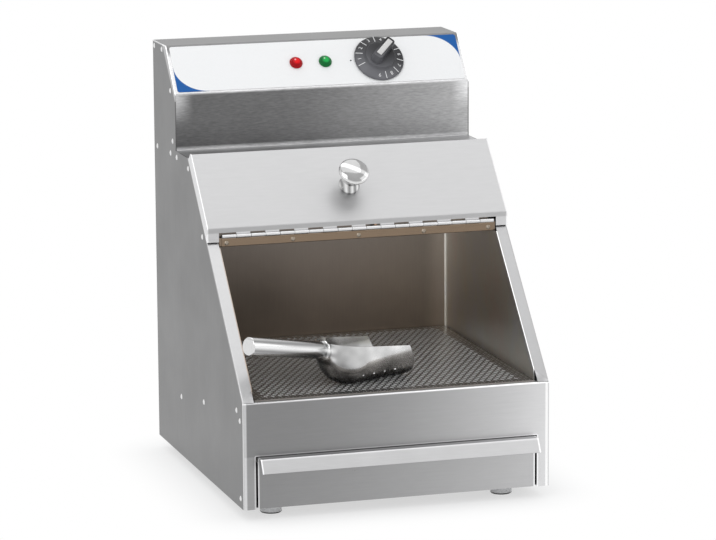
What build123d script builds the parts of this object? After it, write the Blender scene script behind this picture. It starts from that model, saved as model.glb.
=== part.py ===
from build123d import *
import os
from math import cos, hypot, radians, sin

# Chip warmer: a free-standing stainless counter cabinet. Potato chips lie in an open bin on a
# perforated tray, under a heating element. The upper half of the bin's slanted opening has a lid
# on a piano hinge, and a crumb drawer slides out of the foot.
#
# Working axes, in millimetres: x across the cabinet from its middle, y backwards from the front
# face, z upwards from the underside of the body. Every piece is shifted once, when it is written,
# so that the finished part stands on z = 0 with its box centred on the origin.

# ------------------------------------------------------------------ cabinet outline
BODY_WIDTH = 360.0
BODY_DEPTH = 385.0
BODY_HEIGHT = 480.0
TOP_DEPTH = 60.0              # flat top, behind the sloped console
CONSOLE_DEPTH = 102.0         # console, from its upright front to the back
CONSOLE_SLOPE_RISE = 51.6     # height of the sloped control face
LEDGE_HEIGHT = 362.0          # shelf at the foot of the console
LEDGE_DEPTH = 56.0
LIP_HEIGHT = 121.4            # top of the lower front panel, where the slanted opening starts

SHEET = 1.0                   # stainless sheet
BEND = 1.6                    # mean radius of a fold
EDGE_ROUND = 1.5              # outer radius of a long folded corner
FIT = 0.15                    # gap between two sheets of the cabinet that slide together
MOVE_GAP = 0.3                # gap between the cabinet and a piece that moves or lifts out

STRIP_WIDTH = 13.5            # side panel's strip that frames the slanted opening
BOTTOM_FLANGE = 16.0
BACK_FLANGE = 14.0
SHELL_FLANGE = 18.0           # upper shell's side flanges
SHELL_FOLD = 15.0             # shell's fold down the slope, in front of the ledge
VENT_COUNT = 7
VENT_SLOT = (42.0, 5.0)
VENT_PITCH = 16.0
VENT_X = 60.0
VENT_DROP = 55.0              # middle of the vents, below the top

# ------------------------------------------------------------------ bin and tray
BIN_BACK_GAP = 56.5           # from the bin's back wall to the cabinet's back face
BIN_DEPTH = BODY_DEPTH - BIN_BACK_GAP
CEILING_DROP = 12.0
CEILING_HEIGHT = LEDGE_HEIGHT - CEILING_DROP    # top of the plate between bin and electrical box
CEILING_FLANGE = 11.0
WALL_FLANGE = 14.0            # flanges behind the bin's back wall
TRAY_SHEET = 1.2
TRAY_FRONT = 6.0              # front edge of the tray, behind the front face
TRAY_SIDE_GAP = 1.3
TRAY_MARGIN = 13.0            # plain border round the perforation
TRAY_HOLE = 12.0
TRAY_PITCH = 24.0
TRAY_LEDGE = 10.0             # width of the ledges that carry the tray
WALL_SPACER_DROP = 0.153      # fall of the lower wall spacers per length, towards the back
WALL_SPACER_FRONT = (22.3, 109.5)
WALL_SPACER_BACK_GAP = 79.2

# ------------------------------------------------------------------ lower front and drawer
FRONT_LIP = 11.0
FRONT_FLANGE = 17.5
FRONT_FLANGE_GAP = 3.3
FRONT_TAB = 25.0              # lip's end tabs, closing the corners under the strips
DRAWER_OPENING_SIDE = 14.5    # front sheet left on each side of the drawer's opening
DRAWER_OPENING_WIDTH = BODY_WIDTH - 2 * DRAWER_OPENING_SIDE
DRAWER_OPENING_HEIGHT = 60.3
DRAWER_FRONT_GAP = 3.5        # gap beside the drawer front
DRAWER_FRONT_FOOT = 0.6
HANDLE_SHELF = 9.0            # drawer handle: how far its top reaches forward
HANDLE_LIP = (9.0, 17.0)      # and its lip, forward and down
DRAWER_BACK_GAP = 50.0
DRAWER_LENGTH = BODY_DEPTH - DRAWER_BACK_GAP
DRAWER_PAN_SIDE = 24.0        # from each side of the cabinet
DRAWER_PAN_WIDTH = BODY_WIDTH - 2 * DRAWER_PAN_SIDE
DRAWER_PAN_FLOOR = 8.0
DRAWER_PAN_HEIGHT = 42.0
DRAWER_RIM = 3.0
RUNNER_LEDGE = 12.0
RUNNER_FOOT = 12.0
RUNNER_FRONT = 6.0
RUNNER_HEIGHT = 26.0
RUNNER_BACK_GAP = 45.0
RUNNER_LENGTH = BODY_DEPTH - RUNNER_BACK_GAP

# ------------------------------------------------------------------ lid and piano hinge
LID_DEPTH = 13.2              # face of the lid above the slope
LID_EAR = 6.3                 # how far the lid's ends reach below the hinge axis
LID_TOP_GAP = 3.0             # between the lid and the ledge's edge, along the slope
HINGE_Y = 143.4
HINGE_STAND_OFF = 7.0         # hinge axis above the slope
HINGE_END_GAP = 17.0
HINGE_LENGTH = BODY_WIDTH - 2 * HINGE_END_GAP
HINGE_KNUCKLES = 19
KNUCKLE_RADIUS = 2.3
LEAF = 0.8
PIN_RADIUS = 1.3
RUNNING_GAP = 0.05
KNUCKLE_GAP = 0.3             # at each end of a knuckle
FIXED_LEAF = 11.5
FIXED_LEAF_SLOT = 0.6         # leaf cut away beyond the other leaf's knuckles
LID_LEAF_SLOT = 2.3
LID_LEAF = 8.0
HINGE_RIVET_INSET = 6.0
HINGE_RIVET_SPAN = HINGE_LENGTH - 2 * HINGE_RIVET_INSET
HINGE_RIVET_DROP = 8.0
HINGE_RIVET_COUNT = 5
RAIL_DEPTH = 26.0
RAIL_HEIGHT = 10.7
RAIL_DROP = 1.8               # rail below the hinge axis, clear of the turning knuckles
LID_KNOB_PLACE = 271.5        # up the slope
LID_KNOB_X = -2.0
LID_KNOB_RADIUS = 16.5
LID_KNOB_HEIGHT = 34.0

# ------------------------------------------------------------------ controls
CONTROL_LINE = 34.4           # control axes, up the console slope from its lower edge
FASCIA_THICKNESS = 0.5
FASCIA_BORDER = (4.0, 2.4)    # plain sheet left at its ends, and below and above it
THERMOSTAT_X = 74.7
DIAL_RADIUS = 30.0
DIAL_SKIRT = 5.0
DIAL_ANGLE = 45.0             # grip direction at rest
GRIP_LENGTH = 41.0
INSERT_SIZE = (23.0, 5.7)
INSERT_SHIFT = 4.8            # towards the pointing end
GRIP_WIDTH = 13.0
GRIP_HEIGHT = 21.0
SHAFT_RADIUS = 3.0
BUSHING_RADIUS = 4.8
THERMOSTAT_BODY = (38.0, 38.0, 34.0)
RED_LAMP_X = -27.2
GREEN_LAMP_X = 8.6
LENS_RADIUS = 7.8
LAMP_RADIUS = 5.8

# ------------------------------------------------------------------ heating and wiring
ELEMENT_RADIUS = 4.2
ELEMENT_DROP = 17.0
ELEMENT_HEIGHT = CEILING_HEIGHT - ELEMENT_DROP
ELEMENT_INSETS = (133.0, 79.0)    # its front run and its risers, from the back face
ELEMENT_FRONT = BODY_DEPTH - ELEMENT_INSETS[0]
ELEMENT_BACK = BODY_DEPTH - ELEMENT_INSETS[1]
ELEMENT_SIDE = 50.0
ELEMENT_HALF_SPAN = BODY_WIDTH / 2 - ELEMENT_SIDE
ELEMENT_BEND = 18.0
TERMINAL_BEND = 12.0
TERMINAL_RISE = 35.0
ELEMENT_TERMINAL_TOP = CEILING_HEIGHT + TERMINAL_RISE
CLIP_STATIONS = (-0.65, 0.0, 0.65)    # as shares of the half span
CLIP_SIZE = (1.6, 13.0)
REFLECTOR_SHEET = 0.8
REFLECTOR_DEPTH = 11.0
REFLECTOR_FLARE = 8.0
REFLECTOR_FLAT = (9.0, 36.0)  # its flat, in front of and behind the element's front run
REFLECTOR_END = 14.0          # its reach beyond the element
TERMINAL_SPAN = (-70.0, -22.0)
TERMINAL_DEPTH = 20.0
TERMINAL_HEIGHTS = (14.0, 20.0)
TERMINAL_POLES = 3
POLE_WIDTH = 11.0
POLE_DRILL = 2.2
BULB_RADIUS = 3.0
BULB_STAND_OFF = 6.5
BULB_Y = BIN_DEPTH - BULB_STAND_OFF
BULB_DROP = 25.0
BULB_TOP = CEILING_HEIGHT - BULB_DROP
BULB_LENGTH = 80.0
CAPILLARY_RADIUS = 0.8
GLAND_RISE = 35.0
GLAND_PLACE = (-BODY_WIDTH / 3, CEILING_HEIGHT + GLAND_RISE)    # x and z
GLAND_RADIUS = 8.0
GLAND_REACH = 16.0
GLAND_NUT_RADIUS = 11.5
GLAND_NUT_HEIGHT = 5.0

# ------------------------------------------------------------------ feet and fasteners
FOOT_RADIUS = 12.3
FOOT_HEIGHT = 14.5
FOOT_SIDE = 43.0
FOOT_X = BODY_WIDTH / 2 - FOOT_SIDE
FOOT_INSET = 42.0
RIVET_RADIUS = 1.6
RIVET_HEAD = 3.2
RIVET_HEAD_HEIGHT = 1.2
SCREW_RADIUS = 2.0
SCREW_HEAD = 3.8
SCREW_HEAD_HEIGHT = 2.4
SCREW_LENGTH = 8.0
HOLE_GAP = 0.1

# ------------------------------------------------------------------ scoop
SCOOP_HEEL = (-74.5, 41.5)    # place of its collar, above the tray
SCOOP_TURN = 25.1             # heading of its bowl, from +x towards the back
SCOOP_HANDLE_RISE = 10.7      # handle above the level, in degrees
SCOOP_COLLAR_HEIGHT = 43.5
SCOOP_HANDLE_RADIUS = 10.2
SCOOP_HANDLE_LENGTH = 112.0   # from the collar's seat
SCOOP_COLLAR_END = 3.0
SCOOP_HANDLE_WALL = 1.3
BOWL_RADIUS = 36.0
BOWL_LENGTH = 116.0
BOWL_RIM = (52.0, 38.0)       # rim height at the heel and at the tip
BOWL_RAKE = 16.0              # mouth's rake
BOWL_HOLE = 3.0
BOWL_SHEET = 1.4

# ------------------------------------------------------------------ derived places
HALF = BODY_WIDTH / 2
INSIDE = HALF - SHEET                 # inner face of a side panel
TUCKED = INSIDE - FIT                 # outer face of a sheet between the side panels
WALL_OUT = HALF - STRIP_WIDTH         # outer face of an inner wall
WALL_IN = WALL_OUT - SHEET
TOP_BACK = (BODY_DEPTH, BODY_HEIGHT)
TOP_FRONT = (BODY_DEPTH - TOP_DEPTH, BODY_HEIGHT)
CONSOLE_EDGE = (BODY_DEPTH - CONSOLE_DEPTH, BODY_HEIGHT - CONSOLE_SLOPE_RISE)
CONSOLE_FOOT = (BODY_DEPTH - CONSOLE_DEPTH, LEDGE_HEIGHT)
LEDGE_EDGE = (BODY_DEPTH - CONSOLE_DEPTH - LEDGE_DEPTH, LEDGE_HEIGHT)
LIP = (0.0, LIP_HEIGHT)
SLOPE_LENGTH = hypot(LEDGE_EDGE[0], LEDGE_EDGE[1] - LIP_HEIGHT)
SLOPE_RUN = LEDGE_EDGE[0] / SLOPE_LENGTH
SLOPE_RISE = (LEDGE_EDGE[1] - LIP_HEIGHT) / SLOPE_LENGTH
CONSOLE_LENGTH = hypot(TOP_FRONT[0] - CONSOLE_EDGE[0], CONSOLE_SLOPE_RISE)
CONSOLE_RUN = (TOP_FRONT[0] - CONSOLE_EDGE[0]) / CONSOLE_LENGTH
CONSOLE_RISE = CONSOLE_SLOPE_RISE / CONSOLE_LENGTH
BACK_INSIDE = BODY_DEPTH - SHEET      # inner face of the back panel
FLANGE_BACK = BACK_INSIDE - SHEET     # inner face of the side panels' back flanges
TRAY_BOTTOM = LIP_HEIGHT + MOVE_GAP
TRAY_TOP = TRAY_BOTTOM + TRAY_SHEET
HINGE_Z = LIP_HEIGHT + (HINGE_STAND_OFF + SLOPE_RISE * HINGE_Y) / SLOPE_RUN
KNUCKLE_PITCH = HINGE_LENGTH / HINGE_KNUCKLES
LEAF_FRONT = HINGE_Y + KNUCKLE_RADIUS - LEAF
LEAF_BACK = HINGE_Y + KNUCKLE_RADIUS
LID_STRIP_FRONT = LEAF_FRONT - SHEET
LID_STRIP_FOOT = HINGE_Z + KNUCKLE_RADIUS + 1.9
HINGE_PLACE = HINGE_Y * SLOPE_RUN + (HINGE_Z - LIP_HEIGHT) * SLOPE_RISE
SPACER_START = FRONT_FLANGE + FRONT_FLANGE_GAP
SPACER_LENGTH = BODY_DEPTH - WALL_SPACER_BACK_GAP - SPACER_START
DRAWER_FRONT_TOP = DRAWER_OPENING_HEIGHT - 2 * MOVE_GAP
RUNNER_IN = DRAWER_PAN_WIDTH / 2 + 1.5
FRONT_REACH = HANDLE_SHELF + HANDLE_LIP[0] + SHEET / 2
BACK_REACH = BODY_DEPTH + GLAND_REACH
STAND = Pos(0, -(BACK_REACH - FRONT_REACH) / 2, FOOT_HEIGHT)

SLOPE = Plane(origin=(0, 0, LIP_HEIGHT), x_dir=(1, 0, 0), z_dir=(0, -SLOPE_RISE, SLOPE_RUN))
CONSOLE = Plane(
    origin=(0, *CONSOLE_EDGE), x_dir=(1, 0, 0), z_dir=(0, -CONSOLE_RISE, CONSOLE_RUN)
)


# ------------------------------------------------------------------ making shapes
def block(x, y, z):
    """A box between (low, high) limits along each axis."""
    limits = (x, y, z)
    centre = [(low + high) / 2 for low, high in limits]
    size = [high - low for low, high in limits]
    return Pos(*centre) * Box(*size)


def side_slab(points, x_low, x_high):
    """A flat slab with an outline of (y, z) points, between two places across the cabinet."""
    outline = make_face(Polyline(*points, close=True))
    return extrude(Plane.YZ.offset(x_low) * outline, x_high - x_low)


def shifted(points, distance):
    """An open path of (y, z) points moved to the left of its direction, with mitred corners."""
    path = [Vector(*point) for point in points]
    headings = [(end - start).normalized() for start, end in zip(path, path[1:])]
    lefts = [Vector(-heading.Y, heading.X) for heading in headings]
    corners = [(a + b) * (1 / (1 + a.dot(b))) for a, b in zip(lefts, lefts[1:])]
    moves = [lefts[0], *corners, lefts[-1]]
    moved = [point + move * distance for point, move in zip(path, moves)]
    return [(point.X, point.Y) for point in moved]


def band(points, near, far):
    """The closed outline between two shifts of one path."""
    return shifted(points, near) + shifted(points, far)[::-1]


def folded(points, x_low, x_high, sheet=SHEET, bend=BEND):
    """A sheet folded along its outer path of (y, z) points; the metal lies to the path's left."""
    middle = FilletPolyline(*shifted(points, sheet / 2), radius=bend)
    profile = trace(middle, sheet)
    return extrude(Plane.YZ.offset(x_low) * profile, x_high - x_low)


def rod(start, end, radius):
    """A round bar between two points."""
    begin = Vector(*start)
    run = Vector(*end) - begin
    return extrude(Plane(origin=begin, z_dir=run) * Circle(radius), run.length)


def turned(origin, axis, profile):
    """A turned piece: an outline of (radius, height) points spun about an axis."""
    outline = make_face(Polyline(*profile, close=True))
    spun = revolve(Plane.XZ * outline, Axis.Z)
    return Location(Plane(origin=origin, z_dir=axis)) * spun


def mirrored(shape):
    """The same piece for the other side of the cabinet."""
    return mirror(shape, about=Plane.YZ)


def group(shapes):
    """Identical loose pieces that share one node."""
    return Compound([solid for shape in shapes for solid in shape.solids()])


def on_slope(place, height, x=0.0):
    """A point up the slope of the opening, at a height above it."""
    return SLOPE.from_local_coords((x, place, height))


def yz(point):
    return (point.Y, point.Z)


def on_console(place, height, x=0.0):
    """A point up the sloped control face, at a height above it."""
    return CONSOLE.from_local_coords((x, place, height))


def slope_height(y):
    """Height of the opening's plane at a distance behind the front face."""
    return LIP_HEIGHT + y * SLOPE_RISE / SLOPE_RUN


def slope_depth(z):
    """Distance of the opening's plane behind the front face at a height."""
    return (z - LIP_HEIGHT) * SLOPE_RUN / SLOPE_RISE


# ------------------------------------------------------------------ rivets through the side panels
SPACER_RIVET_SHARES = (0.016, 0.52, 0.885)
RIVETS_TOP = [
    (TOP_BACK[0] - 7.0, TOP_BACK[1] - 6.0),
    (TOP_FRONT[0] + 17.0, TOP_FRONT[1] - 6.0),
]
RIVETS_CONSOLE = [
    (CONSOLE_EDGE[0] + 21.0, CONSOLE_EDGE[1] + 1.6),
    (CONSOLE_FOOT[0] + 13.5, CONSOLE_FOOT[1] + 9.5),
]
RIVETS_LEDGE = [
    (CONSOLE_FOOT[0] - 5.0, LEDGE_HEIGHT - 7.0),
    (LEDGE_EDGE[0] - 1.4, LEDGE_HEIGHT - 12.0),
]
RIVETS_CEILING = [
    (CONSOLE_FOOT[0] + 24.0, CEILING_HEIGHT + 6.0),
    (BODY_DEPTH - 15.0, CEILING_HEIGHT + 5.0),
]
RIVETS_RAIL = [(HINGE_Y + 22.2, HINGE_Z - 3.0)]
SPACER_RIVET_DEPTHS = [SPACER_START + share * SPACER_LENGTH for share in SPACER_RIVET_SHARES]
RIVETS_SPACER = [
    (y, WALL_SPACER_FRONT[1] - WALL_SPACER_DROP * (y - WALL_SPACER_FRONT[0]))
    for y in SPACER_RIVET_DEPTHS
]
RIVETS_FRONT = [(12.0, LIP_HEIGHT - 21.9), (12.0, 11.0)]
SHELL_RIVETS = RIVETS_TOP + RIVETS_CONSOLE + RIVETS_LEDGE
ALL_RIVETS = SHELL_RIVETS + RIVETS_CEILING + RIVETS_RAIL + RIVETS_SPACER + RIVETS_FRONT


def rivet_holes(places):
    """Drills for rivets at (y, z) places, through the side panel and the flange inside it."""
    radius = RIVET_RADIUS + HOLE_GAP
    return [rod((TUCKED - 2 * SHEET, y, z), (HALF + SHEET, y, z), radius) for y, z in places]


def side_rivet(y, z):
    """A blind rivet: domed head outside, shank through both sheets."""
    profile = [
        (0, -2 * SHEET - FIT),
        (RIVET_RADIUS, -2 * SHEET - FIT),
        (RIVET_RADIUS, 0),
        (RIVET_HEAD, 0),
        (RIVET_HEAD * 0.62, RIVET_HEAD_HEIGHT),
        (0, RIVET_HEAD_HEIGHT),
    ]
    return turned((HALF, y, z), (1, 0, 0), profile)


# ------------------------------------------------------------------ cabinet sheets
def back_screw_places():
    """(x, z) of the back panel's screws on the right-hand side."""
    rows = 4
    low = 40.0
    high = BODY_HEIGHT - 20.0
    x = INSIDE - BACK_FLANGE / 2
    return [(x, low + (high - low) * row / (rows - 1)) for row in range(rows)]


def side_panel():
    """Right-hand side sheet with the strip along the slope, and bottom and back flanges."""
    outline = [(0, 0), LIP, LEDGE_EDGE, CONSOLE_FOOT, CONSOLE_EDGE, TOP_FRONT, TOP_BACK]
    outline.append((BODY_DEPTH, 0))
    panel = side_slab(outline, INSIDE, HALF)
    low = 2.5
    high = SLOPE_LENGTH - SHELL_FOLD - 2.0
    strip = [(HALF, low), (HALF, high), (WALL_OUT, high), (WALL_OUT, low + STRIP_WIDTH)]
    panel += extrude(SLOPE * make_face(Polyline(*strip, close=True)), -SHEET)
    panel += block((INSIDE - BOTTOM_FLANGE, HALF), (20.0, BACK_INSIDE), (0, SHEET))
    panel += block((INSIDE - BACK_FLANGE, HALF), (FLANGE_BACK, BACK_INSIDE), (0, BODY_HEIGHT - 2.0))
    corner = [
        edge
        for edge in panel.edges()
        if edge.length > SLOPE_LENGTH / 2
        and abs(edge.center().X - HALF) < 0.01
        and abs(SLOPE.to_local_coords(edge.center()).Z) < 0.01
    ]
    panel = fillet(corner, EDGE_ROUND)
    holes = rivet_holes(ALL_RIVETS)
    holes += [
        rod((x, FLANGE_BACK - 1, z), (x, BACK_INSIDE + 1, z), SCREW_RADIUS + HOLE_GAP)
        for x, z in back_screw_places()
    ]
    return panel - holes


def upper_shell():
    """Top, console and ledge in one folded sheet, with flanges down its ends."""
    fold_end = yz(on_slope(SLOPE_LENGTH - SHELL_FOLD, 0))
    path = [TOP_BACK, TOP_FRONT, CONSOLE_EDGE, CONSOLE_FOOT, LEDGE_EDGE, fold_end]
    shell = folded(path, -TUCKED, TUCKED)
    edge_path = [(FLANGE_BACK - FIT, BODY_HEIGHT)] + path[1:5]
    low = LEDGE_HEIGHT - SHELL_FLANGE
    high = LEDGE_HEIGHT - 2 * SHEET
    toe = [
        (LEDGE_EDGE[0] + 1.0, high),
        (slope_depth(high) + 1.5, high),
        (slope_depth(low) + 1.5, low),
        (LEDGE_EDGE[0] + 1.0, low),
    ]
    flange = side_slab(band(edge_path, SHEET / 2, SHELL_FLANGE), TUCKED - SHEET, TUCKED)
    flange += side_slab(toe, TUCKED - SHEET, TUCKED)
    flange -= rivet_holes(SHELL_RIVETS)
    shell = shell + flange + mirrored(flange)
    shell -= [control_hole(THERMOSTAT_X, BUSHING_RADIUS)]
    shell -= [control_hole(RED_LAMP_X, LAMP_RADIUS), control_hole(GREEN_LAMP_X, LAMP_RADIUS)]
    return shell


def control_hole(x, radius):
    """Drill through the control face for a bush or lamp of a radius."""
    low = on_console(CONTROL_LINE, -3 * SHEET, x)
    high = on_console(CONTROL_LINE, 2 * SHEET, x)
    return rod(low, high, radius + HOLE_GAP)


def control_fascia():
    """Thin printed plate over the sloped control face."""
    end, edge = FASCIA_BORDER
    width = BODY_WIDTH - 2 * end
    height = CONSOLE_LENGTH - 2 * edge
    face = Pos(0, CONSOLE_LENGTH / 2) * RectangleRounded(width, height, 3.0)
    plate = extrude(CONSOLE * face, FASCIA_THICKNESS)
    plate -= [control_hole(THERMOSTAT_X, BUSHING_RADIUS)]
    plate -= [control_hole(RED_LAMP_X, LAMP_RADIUS), control_hole(GREEN_LAMP_X, LAMP_RADIUS)]
    return plate


def back_panel():
    """Flat back sheet, screwed to the side panels, with vents and the cable entry."""
    panel = block((-TUCKED, TUCKED), (BACK_INSIDE, BODY_DEPTH), (0, BODY_HEIGHT - SHEET - FIT))
    for index in range(VENT_COUNT):
        x = VENT_X + (index - (VENT_COUNT - 1) / 2) * VENT_PITCH
        centre = Pos(x, BODY_DEPTH - SHEET / 2, BODY_HEIGHT - VENT_DROP)
        slot = centre * Rot(90, 0, 0) * SlotOverall(*VENT_SLOT, rotation=90)
        panel -= extrude(slot, 2 * SHEET, both=True)
    x, z = GLAND_PLACE
    panel -= rod((x, BACK_INSIDE - 1, z), (x, BODY_DEPTH + 1, z), GLAND_RADIUS + HOLE_GAP)
    for x, z in back_screw_places():
        for side in (-x, x):
            start = (side, BACK_INSIDE - 1, z)
            panel -= rod(start, (side, BODY_DEPTH + 1, z), SCREW_RADIUS + HOLE_GAP)
    return panel


def back_screws():
    """Pan-head screws of the back panel."""
    profile = [
        (0, -SCREW_LENGTH),
        (SCREW_RADIUS, -SCREW_LENGTH),
        (SCREW_RADIUS, 0),
        (SCREW_HEAD, 0),
        (SCREW_HEAD, SCREW_HEAD_HEIGHT * 0.5),
        (SCREW_HEAD * 0.6, SCREW_HEAD_HEIGHT),
        (0, SCREW_HEAD_HEIGHT),
    ]
    screws = []
    for x, z in back_screw_places():
        screws.append(turned((x, BODY_DEPTH, z), (0, 1, 0), profile))
        screws.append(turned((-x, BODY_DEPTH, z), (0, 1, 0), profile))
    return group(screws)


def foot_places():
    """(x, y) of the four feet."""
    rows = (FOOT_INSET, BODY_DEPTH - FOOT_INSET)
    return [(x, y) for x in (-FOOT_X, FOOT_X) for y in rows]


def bottom_plate():
    """Floor sheet on the side panels' flanges."""
    plate = block((-TUCKED, TUCKED), (2.5, FLANGE_BACK - FIT), (SHEET, 2 * SHEET))
    for x, y in foot_places():
        plate -= rod((x, y, 0), (x, y, 3 * SHEET), SCREW_RADIUS + HOLE_GAP)
    return plate


def lower_front_panel():
    """Front sheet under the opening: folded lip, end flanges and the drawer's cut-out."""
    path = [(FRONT_LIP, LIP_HEIGHT), (0, LIP_HEIGHT), (0, 0)]
    panel = folded(path, -TUCKED, TUCKED)
    half_gap = DRAWER_OPENING_WIDTH / 2
    panel -= block((-half_gap, half_gap), (-1, 2 * SHEET), (-1, DRAWER_OPENING_HEIGHT))
    hem = block(
        (-half_gap, half_gap),
        (SHEET / 2, 7.0),
        (DRAWER_OPENING_HEIGHT, DRAWER_OPENING_HEIGHT + SHEET),
    )
    flange = block((TUCKED - SHEET, TUCKED), (SHEET / 2, FRONT_FLANGE), (3.0, LIP_HEIGHT - SHEET))
    flange -= rivet_holes(RIVETS_FRONT)
    flange += block(
        (WALL_OUT + SHEET + FIT, TUCKED),
        (FRONT_LIP - SHEET, FRONT_TAB),
        (LIP_HEIGHT - SHEET, LIP_HEIGHT),
    )
    return panel + hem + flange + mirrored(flange)


def ceiling_plate():
    """Plate between the bin and the electrical box, turned up at its front and ends."""
    front = LEDGE_EDGE[0] + 2.0
    back = FLANGE_BACK - FIT
    wide = CONSOLE_FOOT[0] + SHELL_FLANGE + FIT
    narrow = TUCKED - SHEET - FIT
    top = CEILING_HEIGHT
    path = [(front, LEDGE_HEIGHT - SHEET), (front, top - SHEET), (back, top - SHEET)]
    plate = folded(path, -narrow, narrow)
    plate += block((-TUCKED, TUCKED), (wide, back), (top - SHEET, top))
    flange = block((TUCKED - SHEET, TUCKED), (wide, back), (top - SHEET, top + CEILING_FLANGE))
    flange -= rivet_holes(RIVETS_CEILING)
    plate = plate + flange + mirrored(flange)
    for x in (-ELEMENT_HALF_SPAN, ELEMENT_HALF_SPAN):
        start = (x, ELEMENT_BACK, top - 3 * SHEET)
        plate -= rod(start, (x, ELEMENT_BACK, top + 2 * SHEET), ELEMENT_RADIUS + HOLE_GAP)
    start = (THERMOSTAT_X, BULB_Y, top - 3 * SHEET)
    plate -= rod(start, (THERMOSTAT_X, BULB_Y, top + 2 * SHEET), CAPILLARY_RADIUS + HOLE_GAP)
    return plate


def bin_back_wall():
    """Upright wall behind the chips, with a ledge for the tray and flanges behind its ends."""
    top = CEILING_HEIGHT - SHEET
    path = [(BIN_DEPTH, top), (BIN_DEPTH, LIP_HEIGHT), (BIN_DEPTH - TRAY_LEDGE, LIP_HEIGHT)]
    wall = folded(path, -WALL_IN, WALL_IN)
    back = BIN_DEPTH + SHEET
    flange_y = (back - SHEET / 2, back + WALL_FLANGE)
    flange = block((WALL_IN - SHEET, WALL_IN), flange_y, (LIP_HEIGHT + 5, top))
    return wall + flange + mirrored(flange)


def spacer_line(y):
    """Height of the lower wall spacers' rivets at a distance behind the front face."""
    return WALL_SPACER_FRONT[1] - WALL_SPACER_DROP * (y - WALL_SPACER_FRONT[0])


def inner_wall():
    """Right-hand wall of the bin, with a notch for the hinge rail."""
    front = FRONT_LIP + 1.0
    back = BIN_DEPTH + SHEET + WALL_FLANGE
    top = CEILING_HEIGHT - SHEET
    foot = 2.0
    outline = [
        (front, spacer_line(front) + foot),
        (front, slope_height(front)),
        (slope_depth(top), top),
        (back, top),
        (back, spacer_line(back) + foot),
    ]
    wall = side_slab(outline, WALL_IN, WALL_OUT)
    notch_y = (0, LEAF_BACK + RAIL_DEPTH + FIT)
    notch_z = (HINGE_Z - RAIL_DROP - RAIL_HEIGHT - FIT, HINGE_Z + 2.0)
    fold_y = (slope_depth(LEDGE_HEIGHT - SHELL_FOLD), LEDGE_EDGE[0] + 1)
    fold = block((0, HALF), fold_y, (LEDGE_HEIGHT - SHELL_FOLD - 2.0, LEDGE_HEIGHT + 1))
    return wall - block((0, HALF), notch_y, notch_z) - fold


def wall_spacer():
    """Z-shaped spacer between the right-hand side panel and inner wall, along their foot."""
    end = SPACER_START + SPACER_LENGTH
    line = [(end, spacer_line(end)), (SPACER_START, spacer_line(SPACER_START))]
    spacer = side_slab(band(line, 7.0, -7.0), TUCKED - SHEET, TUCKED)
    spacer += side_slab(band(line, -6.0, -7.0), WALL_OUT, TUCKED)
    spacer += side_slab(band(line, -6.0, -18.0), WALL_OUT, WALL_OUT + SHEET)
    return spacer - rivet_holes(RIVETS_SPACER)


def tray_support():
    """Angle on the right-hand inner wall that carries the tray."""
    y = (FRONT_LIP + 4.0, BIN_DEPTH - TRAY_LEDGE - 2.0)
    leg = block((WALL_IN - SHEET, WALL_IN), y, (LIP_HEIGHT - 14.0, LIP_HEIGHT))
    return leg + block((WALL_IN - TRAY_LEDGE, WALL_IN), y, (LIP_HEIGHT - SHEET, LIP_HEIGHT))


def drawer_runner():
    """Right-hand drawer runner: foot, upright and the ledge that the pan slides on."""
    y = (RUNNER_FRONT, RUNNER_FRONT + RUNNER_LENGTH)
    floor = 2 * SHEET
    ledge = DRAWER_PAN_FLOOR - MOVE_GAP
    runner = block((RUNNER_IN, RUNNER_IN + SHEET), y, (floor, floor + RUNNER_HEIGHT))
    runner += block((RUNNER_IN, RUNNER_IN + RUNNER_FOOT), y, (floor, floor + SHEET))
    return runner + block((RUNNER_IN - RUNNER_LEDGE, RUNNER_IN), y, (ledge - SHEET, ledge))


def hinge_rail():
    """Channel across the opening that the piano hinge is riveted to."""
    top = HINGE_Z - RAIL_DROP
    low = top - RAIL_HEIGHT
    front = LEAF_BACK
    back = front + RAIL_DEPTH
    lip_path = [(front, top), (front, low), (back, low), (back, top - 3.0)]
    rail = folded(lip_path, -WALL_IN, WALL_IN)
    web_front = front + 3.0
    web = block((WALL_IN - 1, TUCKED), (web_front, back - 3.0), (low, low + SHEET))
    tab = block((TUCKED - SHEET, TUCKED), (front + 14.5, back - 3.0), (low, top + 3.0))
    tab -= rivet_holes(RIVETS_RAIL)
    ends = web + tab
    rail = rail + ends + mirrored(ends)
    for x in hinge_rivet_places():
        rail -= rod((x, front - 1, hinge_rivet_height()), (x, front + 2, hinge_rivet_height()), 1.6)
    return rail


# ------------------------------------------------------------------ piano hinge
def hinge_rivet_places():
    """Places across the cabinet of the hinge's rivets."""
    gaps = HINGE_RIVET_COUNT - 1
    return [HINGE_RIVET_SPAN * (index / gaps - 0.5) for index in range(HINGE_RIVET_COUNT)]


def hinge_rivet_height():
    return HINGE_Z - HINGE_RIVET_DROP


def hinge_rivets():
    """Rivets through the fixed leaf into the rail."""
    profile = [(0, -LEAF - SHEET), (1.5, -LEAF - SHEET), (1.5, 0), (2.6, 0), (1.6, 0.7), (0, 0.7)]
    places = [(x, LEAF_FRONT, hinge_rivet_height()) for x in hinge_rivet_places()]
    return group([turned(place, (0, -1, 0), profile) for place in places])


def knuckle_span(index):
    """Ends across the cabinet of one knuckle."""
    start = -HINGE_LENGTH / 2 + index * KNUCKLE_PITCH
    return start + KNUCKLE_GAP, start + KNUCKLE_PITCH - KNUCKLE_GAP


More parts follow.
